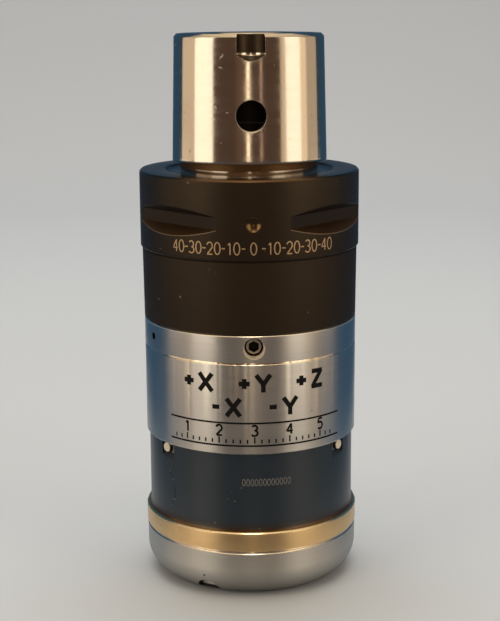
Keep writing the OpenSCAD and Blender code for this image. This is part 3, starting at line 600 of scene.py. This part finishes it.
def collar_and_sleeve():
    """Two brushed rings with fine round edges. The collar has six screw holes and a vent."""
    r, z, s, j = SLEEVE_R / MM, SLEEVE_TOP / MM, SLEEVE_Z / MM, COLLAR_TOP / MM
    bore, inner, foot = 19.6, 28, j - 11.4
    ring = revolve("collar", rounded([
        (bore, foot, 0), (inner, foot, 0), (inner, z, 0), *outer_wall(r, z, j, 0.12),
        (bore, j, 0)]))
    hole = [(0, 18.5), (2.6, 18.5), (2.6, r - 2.7), (3.0, r), (3.1, r + 0.7), (3.1, r + 3),
            (0, r + 3)]
    vent = [(0, 26), (1.05, 26), (1.05, r + 2), (0, r + 2)]
    cutters = [drill(hole, a, GRUB_Z) for a in CENTRING_AZIMUTHS + CLAMP_AZIMUTHS]
    cut(ring, cutters + [drill(vent, -65, GRUB_Z)])
    h, rr, out, _, _ = round_faces(ring)
    inside = (h > z + 0.4) & (h < j - 0.3) & (out < 0.9) & (rr > 22)
    index = np.where(edge_faces(ring, 30.3) & ~inside, 1, 0)
    # The walls of the screw holes take painted shade.
    index[inside] = 2
    # The countersinks take the painted highlight.
    index[inside & (out > 0.05) & (rr > r - 2.8)] = 3
    paint_faces(ring, index)
    place(ring, "mounting_collar", "brushed_steel", BRUSHED, EDGE, PAINTED_SHADE, COUNTERSINK_HIGHLIGHT)
    sleeve = revolve("sleeve", rounded([
        (28.3, s, 0), *outer_wall(r, s, z, 0.12), (28.3, z, 0)]), cols=2 * ROUND)
    paint_faces(sleeve, edge_faces(sleeve, 30.3))
    nick_edge(sleeve, z)
    place(sleeve, "body_sleeve", "brushed_steel", BRUSHED, EDGE)


def nick_edge(obj, z):
    """Small dents along the sleeve's upper edge: each takes away a bell-shaped bite of the radius
    round its own azimuth, strongest at the edge itself."""
    mesh = obj.data
    co = np.empty(len(mesh.vertices) * 3)
    mesh.vertices.foreach_get("co", co)
    co = co.reshape(-1, 3)
    turn = np.arctan2(co[:, 1], co[:, 0])
    dents = 150
    at = RNG.uniform(-np.pi, np.pi, dents)
    wide = RNG.uniform(0.008, 0.03, dents)
    deep = RNG.uniform(0.01, 0.11, dents)
    away = (turn[:, None] - at + np.pi) % (2 * np.pi) - np.pi
    bite = (deep * np.exp(-(away / wide) ** 2)).sum(1) * MM
    near = np.clip(1 - np.abs(co[:, 2] / MM - (z - 0.2)) / 0.3, 0, 1)
    r = np.hypot(co[:, 0], co[:, 1])
    keep = np.where(r > 30 * MM, 1 - bite * near / r, 1)
    co[:, :2] *= keep[:, None]
    mesh.vertices.foreach_set("co", co.ravel())


def screw(azimuth, inner, cone):
    """Grub screw: rings of a circle on the outside, rings of a hexagon in the socket."""
    a = np.linspace(0, 2 * np.pi, SCREW_SIDES, endpoint=False)
    hexagon = 1.25 / np.cos((a + np.pi / 6) % (np.pi / 3) - np.pi / 6)
    face = SLEEVE_R / MM - 3.1
    tip, rise = (0.1, 2.5) if cone else (2.2, 0.3)
    steps = [(0, inner), (tip, inner), (2.5, inner + rise), (2.5, face - 0.45), (2.42, face - 0.3),
             (2.1, face), (hexagon * 1.12, face), (hexagon, face - 0.15), (hexagon, face - 2.5),
             (0, face - 3)]
    rings = [np.stack([r * np.cos(a), r * np.sin(a), 0 * a + d], -1) for r, d in steps]
    verts = radial(np.concatenate(rings) * MM, azimuth, GRUB_Z)
    return verts, grid_faces(len(steps), SCREW_SIDES, False, True)


def screws(name, azimuths, inner, cone):
    """Several grub screws as one piece. Only the ring round the socket is bright; the rest takes
    painted shade.
    """
    made = [screw(a, inner, cone) for a in azimuths]
    count = len(made[0][0])
    faces = np.concatenate([f + i * count for i, (_, f) in enumerate(made)])
    obj = piece(name, np.concatenate([verts for verts, _ in made]), faces)
    bright, bands = 5, count // SCREW_SIDES - 1
    paint_faces(obj, np.arange(len(faces)) // SCREW_SIDES % bands != bright)
    place(obj, name, "screw_steel", SCREW, PAINTED_SHADE)


def window():
    """Dark ring whose foot flares out by a quarter of an ellipse, with three square recesses for
    the lamps, and a dome in each."""
    r, z, t = WINDOW_R / MM, WINDOW_Z / MM, WINDOW_TOP / MM
    out_by, up_by = 0.55, 2.4
    bend = np.radians(np.linspace(75, 0, 14))
    flare = np.c_[r + out_by - out_by * np.cos(bend), z + up_by - up_by * np.sin(bend), 0 * bend]
    ring = revolve("window", rounded([
        (28.3, z, 0), (r + 0.41, z, 0), *flare, (r, t, 0), (28.3, t, 0), (28.3, t - 1, 0),
        (27.3, t - 1, 0), (27.3, z + 1, 0), (28.3, z + 1, 0)]))
    floor = r - 1.5
    pocket = [(-3.3, floor), (1, floor), (1, r + 3), (-7.8, r + 3)]
    cut(ring, [prism(pocket, *sorted((0.9 * s, 6.7 * s)), a, WINDOW_TOP) for _, a, s in LAMPS])
    h, rr, out, _, _ = round_faces(ring)
    index = np.where((h > t - 3.5) & (rr > 28.35) & (rr < 29.7) & (out > 0.9), 1, 0)
    # The flared foot takes the painted reflection of the gold ring.
    index[(h < z + 0.62) & (rr > r)] = 2
    paint_faces(ring, index)
    place(ring, "signal_window", "dark_window", WINDOW, RECESS, FOOT_REFLECTION)

    lens, ball, aside, lamp_z = 1.7, 2.9, 4.85, WINDOW_TOP - 1.75 * MM
    curve = np.linspace(math.asin(lens / ball), 0, 13)
    dome = np.c_[ball * np.sin(curve), r - 3.35 + ball * np.cos(curve)]
    dome = np.r_[[(0, floor), (lens, floor)], dome] * MM
    for name, a, s in LAMPS:
        verts, faces = turned(dome, False, 48)
        verts[:, 0] += aside * s * MM
        lamp = piece(name, radial(verts, a, lamp_z), faces)
        place(lamp, name, "lamp", LAMP, PAINTED_SHADE)
        # The side of each lamp, away from its dome, takes painted shade of the gap round it.
        middle = radial(np.array([[aside * s * MM, 0, 0]]), a, lamp_z)
        away, axis = faces_of(lamp)[0] - middle.T / MM, radial(np.array([0, 0, 1]), a, 0)
        paint_faces(lamp, np.sqrt((away ** 2).sum(0) - (axis @ away) ** 2) > 1.32)


def front():
    """Gold ring, and the cover with its round edge, mouth and spanner slots."""
    r, z, t, inner = RING_R / MM, RING_Z / MM, RING_TOP / MM, 27.3
    ring = revolve("gold_ring", rounded([(inner, z, 0), *outer_wall(r, z, t, 0.1), (inner, t, 0)]))
    paint_faces(ring, edge_faces(ring, 30.7))
    place(ring, "clamp_ring", "gold_ring", GOLD, GOLD_EDGE)

    r, t = COVER_R / MM, COVER_TOP / MM
    soft, bend = 8.6, np.radians(np.linspace(-90, 0, 40))
    edge = np.c_[r - soft + soft * np.cos(bend), soft + soft * np.sin(bend)] * MM
    seat, seat_z, mouth = 17.3, 20, 8.5
    bowl = np.linspace(math.asin(mouth / seat), math.acos(9.85 / seat), 14)
    hollow = np.c_[seat * np.sin(bowl), seat_z - seat * np.cos(bowl)][::-1] * MM
    top = rounded([(r, t - 0.62, 0), (r - 0.3, t - 0.32, 0), (r - EDGE_CUT, t, 0), (inner, t, 0),
                   (inner, 10.15, 0)])
    lip = rounded([(mouth, hollow[-1][1] / MM, 0), (mouth, EDGE_CUT, 0),
                   (mouth + EDGE_CUT, 0, 0)])
    cover = revolve("cover", np.concatenate([edge, top, hollow, lip[1:]]))
    slot_az, wall, slot_r, dot = -28, 25.08, 3.5, 0.27
    slot = [(0, wall), (slot_r, wall), (slot_r, r + 3), (0, r + 3)]
    cutters = [drill(slot, a, 1.05 * MM) for a in (slot_az, slot_az + 180)]
    pinhole = [(0, r - 2), (dot, r - 2), (dot, r + 2), (0, r + 2)]
    cutters.append(drill(pinhole, slot_az, 6.36 * MM, 24))
    cut(cover, cutters)
    h, rr, out, across, up = round_faces(cover)
    # The sides of the spanner slots take the dark steel: painted shade.
    inside = (rr > 24) & (h < 8) & ((across > 0.06) | (up > 0.05)) & (out < 0.97)
    index = np.where(inside, 2, (h > t - 0.61) & (up > 0.3) & (rr > 30))
    # The end walls of the spanner slots take painted light above and painted shadow below.
    index[(out > 0.98) & (h < 4.5) & (rr > 24) & (rr < 25.6)] = 3
    paint_faces(cover, index)
    place(cover, "front_cover", "blasted_metal", BLASTED, EDGE, RECESS_SHADE, LIT_AND_SHADED_WALL)


def coil(name, r, z, turns, wire, first=0.0, last=1.0):
    """Round wire on a helix, or a stretch of it: with a share u from first to last the middle of
    the wire turns evenly round Z while radius and height go evenly from one end value to the
    other, and a circle stands across it in the plane of the axis."""
    sides, per_turn = 16, 48
    u = np.linspace(first, last, int(per_turn * turns * (last - first)) + 1)
    size = np.r_[0, np.full(len(u), wire / 2), 0][:, None]
    u = np.r_[u[0], u, u[-1]][:, None]
    t, b = 2 * np.pi * turns * u, np.linspace(0, 2 * np.pi, sides, endpoint=False)
    away = r[0] + (r[1] - r[0]) * u + size * np.cos(b)
    height = z[0] + (z[1] - z[0]) * u + size * np.sin(b)
    verts = np.stack([away * np.cos(t), away * np.sin(t), height], -1).reshape(-1, 3)
    return piece(name, verts, grid_faces(len(u), sides, False, True), sharp=50)


def springs():
    """Both springs are split, so that each end keeps to the body that carries it."""
    steel = "bright_steel", INNER["bright_steel"]
    low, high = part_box("return_spring")
    wire, turns, split, gap = 1.0 * MM, 6, 1 / 12, 0.0006
    r, z = [high.x - wire / 2] * 2, (low.z + wire / 2, high.z - wire / 2)
    foot = coil("coil_spring_low", r, z, turns, wire, 0.0, split - gap)
    place(foot, None, *steel, body="stylus_carrier")
    obj = coil("coil_spring", r, z, turns, wire, split + gap, 1.0)
    place(obj, "return_spring", *steel)
    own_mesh(obj)
    low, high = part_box("eyelid_spring")
    wire, turns, split, gap = 0.5 * MM, 3, 0.5, 0.002
    r, z = (4.2 * MM, high.x - wire / 2), (low.z + wire / 2, high.z - wire / 2)
    foot = coil("cone_spring_low", r, z, turns, wire, 0.0, split - gap)
    place(foot, "eyelid_spring", *steel, body="eyelid")
    place(coil("cone_spring_high", r, z, turns, wire, split + gap, 1.0), None, *steel)


def diaphragm():
    """Rubber disc, split at the lip that hugs the stem, with room for the stem's tilt. The web
    keeps to the housing: a flat ring whose roll is half a tube, an outer and an inner arc round
    one centre."""
    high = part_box("outer_diaphragm")[1]
    r, t = high.x / MM, high.z / MM
    low, hole, stem, skin = t - 0.5, 4.85, 3.05, 0.3
    roll, roll_z, tube, wall = 6.45, t + 0.05, 1.6, 0.5
    up = np.radians(np.linspace(182.6, 357.4, 20))
    down = np.radians(np.linspace(-20.1, -159.9, 24))
    upper = np.c_[roll + (tube - wall) * np.cos(up), roll_z + (tube - wall) * np.sin(up)]
    lower = np.c_[roll + tube * np.cos(down), roll_z + tube * np.sin(down)]
    web = np.r_[[(hole, t)], upper, [(r, t), (r, low)], lower, [(hole, low)]]
    lip = np.array([(stem, low), (stem + skin, low), (stem + skin, t), (stem, t)])
    rubber = "rubber", INNER["rubber"]
    place(revolve("diaphragm_web", web * MM, cols=120), None, *rubber)
    place(revolve("diaphragm_lip", lip * MM, cols=120), "outer_diaphragm", *rubber, body="eyelid")


collar_and_sleeve()
diaphragm()
springs()
screws("centring_screws", CENTRING_AZIMUTHS, 18.05, False)
screws("clamp_screws", CLAMP_AZIMUTHS, 16.5, True)
window()
front()


# Marks on the surface

def arc(cx, cy, rx, ry, start, end, count=14):
    """Points of an elliptic arc, angles in degrees."""
    a = np.radians(np.linspace(start, end, count))
    return np.c_[cx + rx * np.cos(a), cy + ry * np.sin(a)]


GLYPHS = {
    "0": [arc(0.3, 0.5, 0.3, 0.5, 90, 450, 25)],
    "1": [[(0.12, 0.78), (0.32, 1), (0.32, 0)]],
    "2": [np.r_[arc(0.3, 0.7, 0.29, 0.3, 165, -35), [(0.02, 0)], [(0.6, 0)]]],
    "3": [arc(0.28, 0.75, 0.27, 0.25, 150, -90), arc(0.28, 0.26, 0.31, 0.26, 90, -150)],
    "4": [[(0.45, 0), (0.45, 1), (0, 0.3), (0.62, 0.3)]],
    "5": [np.r_[[(0.55, 1)], [(0.1, 1)], [(0.05, 0.55)], arc(0.28, 0.33, 0.31, 0.33, 120, -140)]],
    "X": [[(0.02, 0), (0.72, 1)], [(0.02, 1), (0.72, 0)]],
    "Y": [[(0, 1), (0.36, 0.45)], [(0.72, 1), (0.36, 0.45)], [(0.36, 0.5), (0.36, 0)]],
    "Z": [[(0.02, 0.93), (0.68, 0.93)], [(0.62, 0.95), (0.06, 0.05)], [(0, 0.07), (0.7, 0.07)]],
    "+": [[(0.02, 0.5), (0.58, 0.5)], [(0.3, 0.22), (0.3, 0.78)]],
    "-": [[(0.05, 0.5), (0.42, 0.5)]],
}
GLYPH_WIDTH = {"1": 0.5, "X": 0.74, "Y": 0.72, "Z": 0.7, "-": 0.47}
OTHER_WIDTH = 0.6

# Scratches: a width in mm, then points as (azimuth, height)
# The dark scratches are real wear drawn near-black: painted shade inside the grooves.
DARK_SCRATCHES = (
    (0.16, (-53.2, 34.9), (-51.2, 33.6), (-49.7, 32.1)),
    (0.20, (-49.3, 30.9), (-48.7, 28.8), (-49.0, 26.8)),
    (0.14, (-49.6, 26.4), (-51.2, 24.7)),
)
WINDOW_SCRATCHES = (
    (0.20, (-53.1, 34.9), (-52.6, 34.5)),
    (0.22, (-50.3, 32.7), (-49.9, 32.3)),
    (0.24, (-49.2, 26.9), (-49.2, 26.4)),
    (0.18, (-51.0, 24.9), (-51.3, 24.6)),
    (0.20, (-7.5, 33.3), (-7.1, 33.1)),
    (0.18, (-12.6, 32.1), (-12.3, 32.1)),
    (0.18, (-15.0, 29.8), (-14.7, 29.8)),
    (0.24, (-11.1, 29.2), (-10.6, 29.2)),
)
SLEEVE_SCRATCHES = (
    (0.10, (-36.4, 59.5), (-34.6, 58.4)),
    (0.12, (-38.2, 56.0), (-36.6, 55.8)),
    (0.18, (-46.0, 54.6), (-45.6, 54.6)),
    (0.10, (-5.6, 57.8), (-4.6, 58.4)),
    (0.20, (-73.4, 49.3), (-73.0, 49.2)),
)


def stroke(path, width, radius, lift, across=7):
    """Ribbon laid on a cylinder: the path (distance round, height) in mm is walked in even
    steps, a flat-topped profile stands across it, and the distance round is bent to an angle."""
    path = np.asarray(path, float)
    run = np.r_[0, np.cumsum(np.hypot(*np.diff(path, axis=0).T))]
    steps = max(2, int(run[-1] / 0.35) + 1, len(path))
    s = np.linspace(0, run[-1], steps)
    line = np.c_[np.interp(s, run, path[:, 0]), np.interp(s, run, path[:, 1])]
    ahead = np.gradient(line, axis=0)
    ahead /= np.hypot(*ahead.T)[:, None]
    side = np.c_[-ahead[:, 1], ahead[:, 0]]
    offset = np.r_[-0.5, np.linspace(-0.5, 0.5, across), 0.5] * width
    height = np.r_[-0.04, np.full(across, lift), -0.04]
    flat = line[:, None] + side[:, None] * offset[None, :, None]
    r = radius / MM + height[None]
    a = flat[..., 0] / (radius / MM)
    verts = np.stack([r * np.sin(a), -r * np.cos(a), flat[..., 1] + 0 * r], -1) * MM
    return verts.reshape(-1, 3), grid_faces(steps, across + 2, False, True)


def marks(name, strokes, radius, material, slot, lift=0.015):
    """Many ribbons as one piece: (path, width) each."""
    verts, faces, base = [], [], 0
    for path, width in strokes:
        v, f = stroke(path, width, radius, lift)
        verts.append(v)
        faces.append(f + base)
        base += len(v)
    obj = piece(name, np.concatenate(verts), np.concatenate(faces), sharp=60)
    place(obj, None, slot, material)


def writing(text, middle, base, height, width, gap=0.2, squeeze=1.0):
    """Strokes of a row of plain signs, centred at a distance round, standing on a height."""
    widths = [GLYPH_WIDTH.get(c, OTHER_WIDTH) for c in text]
    total = sum(widths) + gap * (len(text) - 1)
    wide = height * squeeze
    x, out = middle - total * wide / 2, []
    for c, w in zip(text, widths):
        out += [(np.asarray(p) * (wide, height) + (x, base), width) for p in GLYPHS[c]]
        x += (w + gap) * wide
    return out


def scale_marks():
    """Angle scale on the flange, counted both ways from the dimple, painted highlights along the
    lower edges of the grip slots, and plain axis signs and a ruled scale on the sleeve."""
    r = FLANGE_R / MM
    base, tall, pen, row = 99.5, 3.3, 0.34, []
    for a in range(-40, 41, 10):
        row += writing(str(abs(a)), math.radians(a) * r, base, tall, pen, 0.22, 0.8)
        if a < 40:
            row += writing("-", math.radians(a + 5) * r, base, tall, pen, 0.2, 0.8)
    marks("angle_scale", row, FLANGE_R, TAN, "blackened_steel")
    # Painted highlights along the lower edges of the grip slots.
    x = np.linspace(-15.1, 15.1, 60)
    low = SLOT_Z / MM - 1.8 - (np.sqrt(r ** 2 - x ** 2) - SLOT_FLOOR) * SLOT_FLANK
    round_by = np.arcsin(x / r)
    edges = [(np.c_[r * (math.radians(a) + round_by), low], 0.22) for a in SLOT_AZIMUTHS]
    marks("slot_edge_highlights", edges, FLANGE_R, SLOT_HIGHLIGHT, "blackened_steel", 0.008)

    first, second, black = 61, 54.2, []
    for text, x, z in (("+X", -16.3, first), ("+Y", 0, first), ("+Z", 16.3, first),
                       ("-X", -8, second), ("-Y", 8, second)):
        black += writing(text, x, z, 5.0, 1.3, 0.3, 1.1)
    for z in (52.2, 45.7):
        black.append(([(-26.2, z), (27.6, z)], 0.5))
    pitch, foot, long, short = 2, 46.4, 48.2, 47.5
    for i in range(-12, 13):
        black.append(([(i * pitch, foot), (i * pitch, long if i % 5 == 0 else short)], 0.45))
        if i % 5 == 0:
            black += writing(str(i // 5 + 3), i * pitch, 48.6, 3.0, 0.6, 0.25, 0.95)
    marks("sleeve_marks", black, SLEEVE_R, INK, "brushed_steel")


def wear():
    """Zeros in a row on the window, and scratches: lines through points given as (azimuth,
    height), bent on their cylinder."""
    def lines(radius, paths):
        """Azimuths turned into distances round, with the width put last."""
        return [(np.array(p) * (math.radians(1) * radius / MM, 1), w) for w, *p in paths]

    zeros = writing("0" * 12, math.radians(6.5) * WINDOW_R / MM, 33.8, 1.95, 0.17, 0.25, 0.71)
    marks("window_number", zeros, WINDOW_R, FAINT, "dark_window", 0.006)
    for name, paths, radius, material, slot, lift in (
            ("window_scratches", WINDOW_SCRATCHES, WINDOW_R, PALE, "dark_window", 0.006),
            ("dark_scratches", DARK_SCRATCHES, WINDOW_R, DARK, "dark_window", 0.004),
            ("sleeve_scratches", SLEEVE_SCRATCHES, SLEEVE_R, BRIGHT, "brushed_steel", 0.006)):
        marks(name, lines(radius, paths), radius, material, slot, lift)


scale_marks()
wear()


# Materials of the CAD nodes that stay

slots = {part["node"]: part["material_slot"] for part in frame["record"]["subparts"]}
for name, obj in frame["nodes"].items():
    obj.data.materials.clear()
    obj.data.materials.append(INNER[slots[name]])


# Stage, light and camera

def stage_floor():
    """Floor that bends up into a backdrop: a path in y and z drawn out along x."""
    turn_y, turn_r, half = 0.75, 0.45, 1.6
    bend = np.radians(np.linspace(-90, 0, 24))
    curve = np.c_[turn_y + turn_r * np.cos(bend), turn_r + turn_r * np.sin(bend)]
    path = np.r_[[(-0.30, 0), (0.0, 0)], curve, [(turn_y + turn_r, 1.6)]]
    x, y, z = np.array([-half, 0.0, half]), path[:, :1], path[:, 1:]
    verts = np.stack([x + 0 * y, y + 0 * x, z + 0 * x], -1).reshape(-1, 3)
    obj = piece("floor", verts, grid_faces(len(path), len(x), False, False), sharp=60)
    f = Finish("floor", (0.57, 0.625, 0.70), 0.0, 0.9)
    f.over(f.span(f.noise((3, 3, 3), 2.0), 0.4, 0.7, 0.0, 0.3), (0.59, 0.645, 0.72))
    obj.data.materials.append(f.material)


def panel(name, azimuth, distance, z, width, height, radiance, colour, aim=0.08):
    """Soft lamp: a lit panel that faces the part, with a given brightness of its face."""
    a = math.radians(azimuth)
    data = bpy.data.lights.new(name, "AREA")
    data.shape, data.size, data.size_y = "RECTANGLE", width, height
    data.energy, data.color = radiance * width * height * math.pi, colour
    obj = bpy.data.objects.new(name, data)
    bpy.context.scene.collection.objects.link(obj)
    obj.location = (distance * math.sin(a), -distance * math.cos(a), z)
    towards = obj.location.copy()
    towards.z -= aim
    obj.rotation_euler = towards.to_track_quat("Z", "Y").to_euler()
    return obj


def card(name, corners, faces, colour):
    """Dark card outside the picture, as studios use it, that only reflections see."""
    mesh = bpy.data.meshes.new(name)
    mesh.from_pydata(corners, [], faces)
    obj = bpy.data.objects.new(name, mesh)
    bpy.context.scene.collection.objects.link(obj)
    f = Finish(name, (0.0, 0.0, 0.0), 0.0, 1.0, Specular_IOR_Level=0.0,
               Emission_Color=(*colour, 1), Emission_Strength=1.0)
    mesh.materials.append(f.material)
    obj.visible_camera = obj.visible_diffuse = False
    obj.visible_shadow = obj.visible_transmission = False


def dark_cards():
    """Cards on the floor before and beside the part, and standing cards behind it."""
    grey, slate = (0.098, 0.098, 0.10), (0.038, 0.088, 0.148)
    h, wide, near, far, one = 0.0006, 0.9, -0.05, 0.75, (0, 1, 2, 3)
    front_corners = [(-wide, -wide, h), (wide, -wide, h), (wide, near, h), (-wide, near, h)]
    card("front_card", front_corners, [one], grey)
    floor = [(0.075, near, h), (wide, near, h), (wide, far, h), (0.22, far, h)]
    wall = [(0.33, 0.10, h), (0.33, 0.10, 0.8), (0.24, far, 0.8), (0.24, far, h)]
    for side, name in ((-1, "left_card"), (1, "right_card")):
        corners = [(side * x, y, z) for x, y, z in floor + wall]
        card(name, corners, [one, (4, 5, 6, 7)], slate)
    half, y, low, high = 1.2, 1.04, 0.18, 1.1
    rear_corners = [(-half, y, low), (half, y, low), (half, y, high), (-half, y, high)]
    card("rear_card", rear_corners, [one], slate)


def surroundings():
    """World light: dim brown before the part, dim slate behind it, warm above."""
    brown, slate, warm = (0.105, 0.063, 0.043, 1), (0.05, 0.075, 0.11, 1), (1.0, 0.82, 0.56, 1)
    world = bpy.data.worlds.new("world")
    bpy.context.scene.world = world
    world.use_nodes = True
    tree = world.node_tree
    split = tree.nodes.new("ShaderNodeSeparateXYZ")
    tree.links.new(tree.nodes.new("ShaderNodeTexCoord").outputs["Generated"], split.inputs[0])
    colour = None
    for axis, low, high, then in (("Y", -0.55, 0.35, slate), ("Z", 0.55, 0.95, warm)):
        ramp, mix = tree.nodes.new("ShaderNodeMapRange"), tree.nodes.new("ShaderNodeMix")
        ramp.inputs["From Min"].default_value, ramp.inputs["From Max"].default_value = low, high
        tree.links.new(split.outputs[axis], ramp.inputs["Value"])
        mix.data_type = "RGBA"
        mix.inputs[6].default_value, mix.inputs[7].default_value = brown, then
        if colour:
            tree.links.new(colour, mix.inputs[6])
        tree.links.new(ramp.outputs["Result"], mix.inputs[0])
        colour = mix.outputs[2]
    tree.links.new(colour, tree.nodes["Background"].inputs["Color"])


WARM, TAWNY = (1.0, 0.88, 0.70), (1.0, 0.77, 0.51)
stage_floor()
dark_cards()
surroundings()

# Name, azimuth, distance, height of the middle, width, height, brightness, colour, drop of the aim
PANELS = (
    ("left", -52.3, 0.85, 0.42, 0.416, 0.84, 1.95, WARM, 0.42),
    ("right", 48.9, 0.85, 0.42, 0.309, 0.84, 1.85, WARM, 0.42),
    ("right_inner", 35.4, 0.85, 0.42, 0.08, 0.84, 0.8, TAWNY, 0.42),
    ("right_mid", 64.6, 0.85, 0.42, 0.16, 0.84, 1.15, TAWNY, 0.42),
    ("left_far", -83, 1.0, 0.42, 0.58, 0.84, 0.85, TAWNY, 0.42),
    ("right_far", 84.0, 1.0, 0.42, 0.50, 0.84, 0.55, TAWNY, 0.42),
    ("strip", -1.0, 1.1, 0.30, 0.058, 0.56, 2.7, (1.0, 0.80, 0.55), 0.30),
    ("thin_strip", 12, 1.1, 0.30, 0.011, 0.56, 2.4, (1.0, 0.68, 0.50), 0.30),
    ("glow", -9, 1.15, 0.30, 0.16, 0.56, 0.05, (1.0, 0.5, 0.25), 0.30),
    ("high", 0, 0.42, 1.1, 0.26, 0.3, 2.6, WARM, 0.08),
)
for row in PANELS:
    panel(*row)
panel("top", 180, 0.45, 1.25, 1.3, 0.9, 2.4, (0.97, 0.985, 1.0), 0.0).visible_glossy = False

data = bpy.data.cameras.new("camera")
camera = bpy.data.objects.new("camera", data)
scene = bpy.context.scene
scene.collection.objects.link(camera)
scene.camera = camera
data.lens, data.sensor_width, data.clip_start, data.clip_end = 80.81, 36, 0.01, 20
turn, pitch, roll = math.radians(-2), math.radians(12.25), math.radians(-0.378)
away, eye_z = 0.4, 0.1643
camera.location = (away * math.sin(turn), -away * math.cos(turn), eye_z)
camera.rotation_mode = "QUATERNION"
look = camera.location.copy()
look.z = math.hypot(look.x, look.y) * math.tan(pitch)
spin = look.to_track_quat("Z", "Y")
camera.rotation_quaternion = spin @ Quaternion((0, 0, 1), roll)
scene.view_settings.view_transform = "Standard"
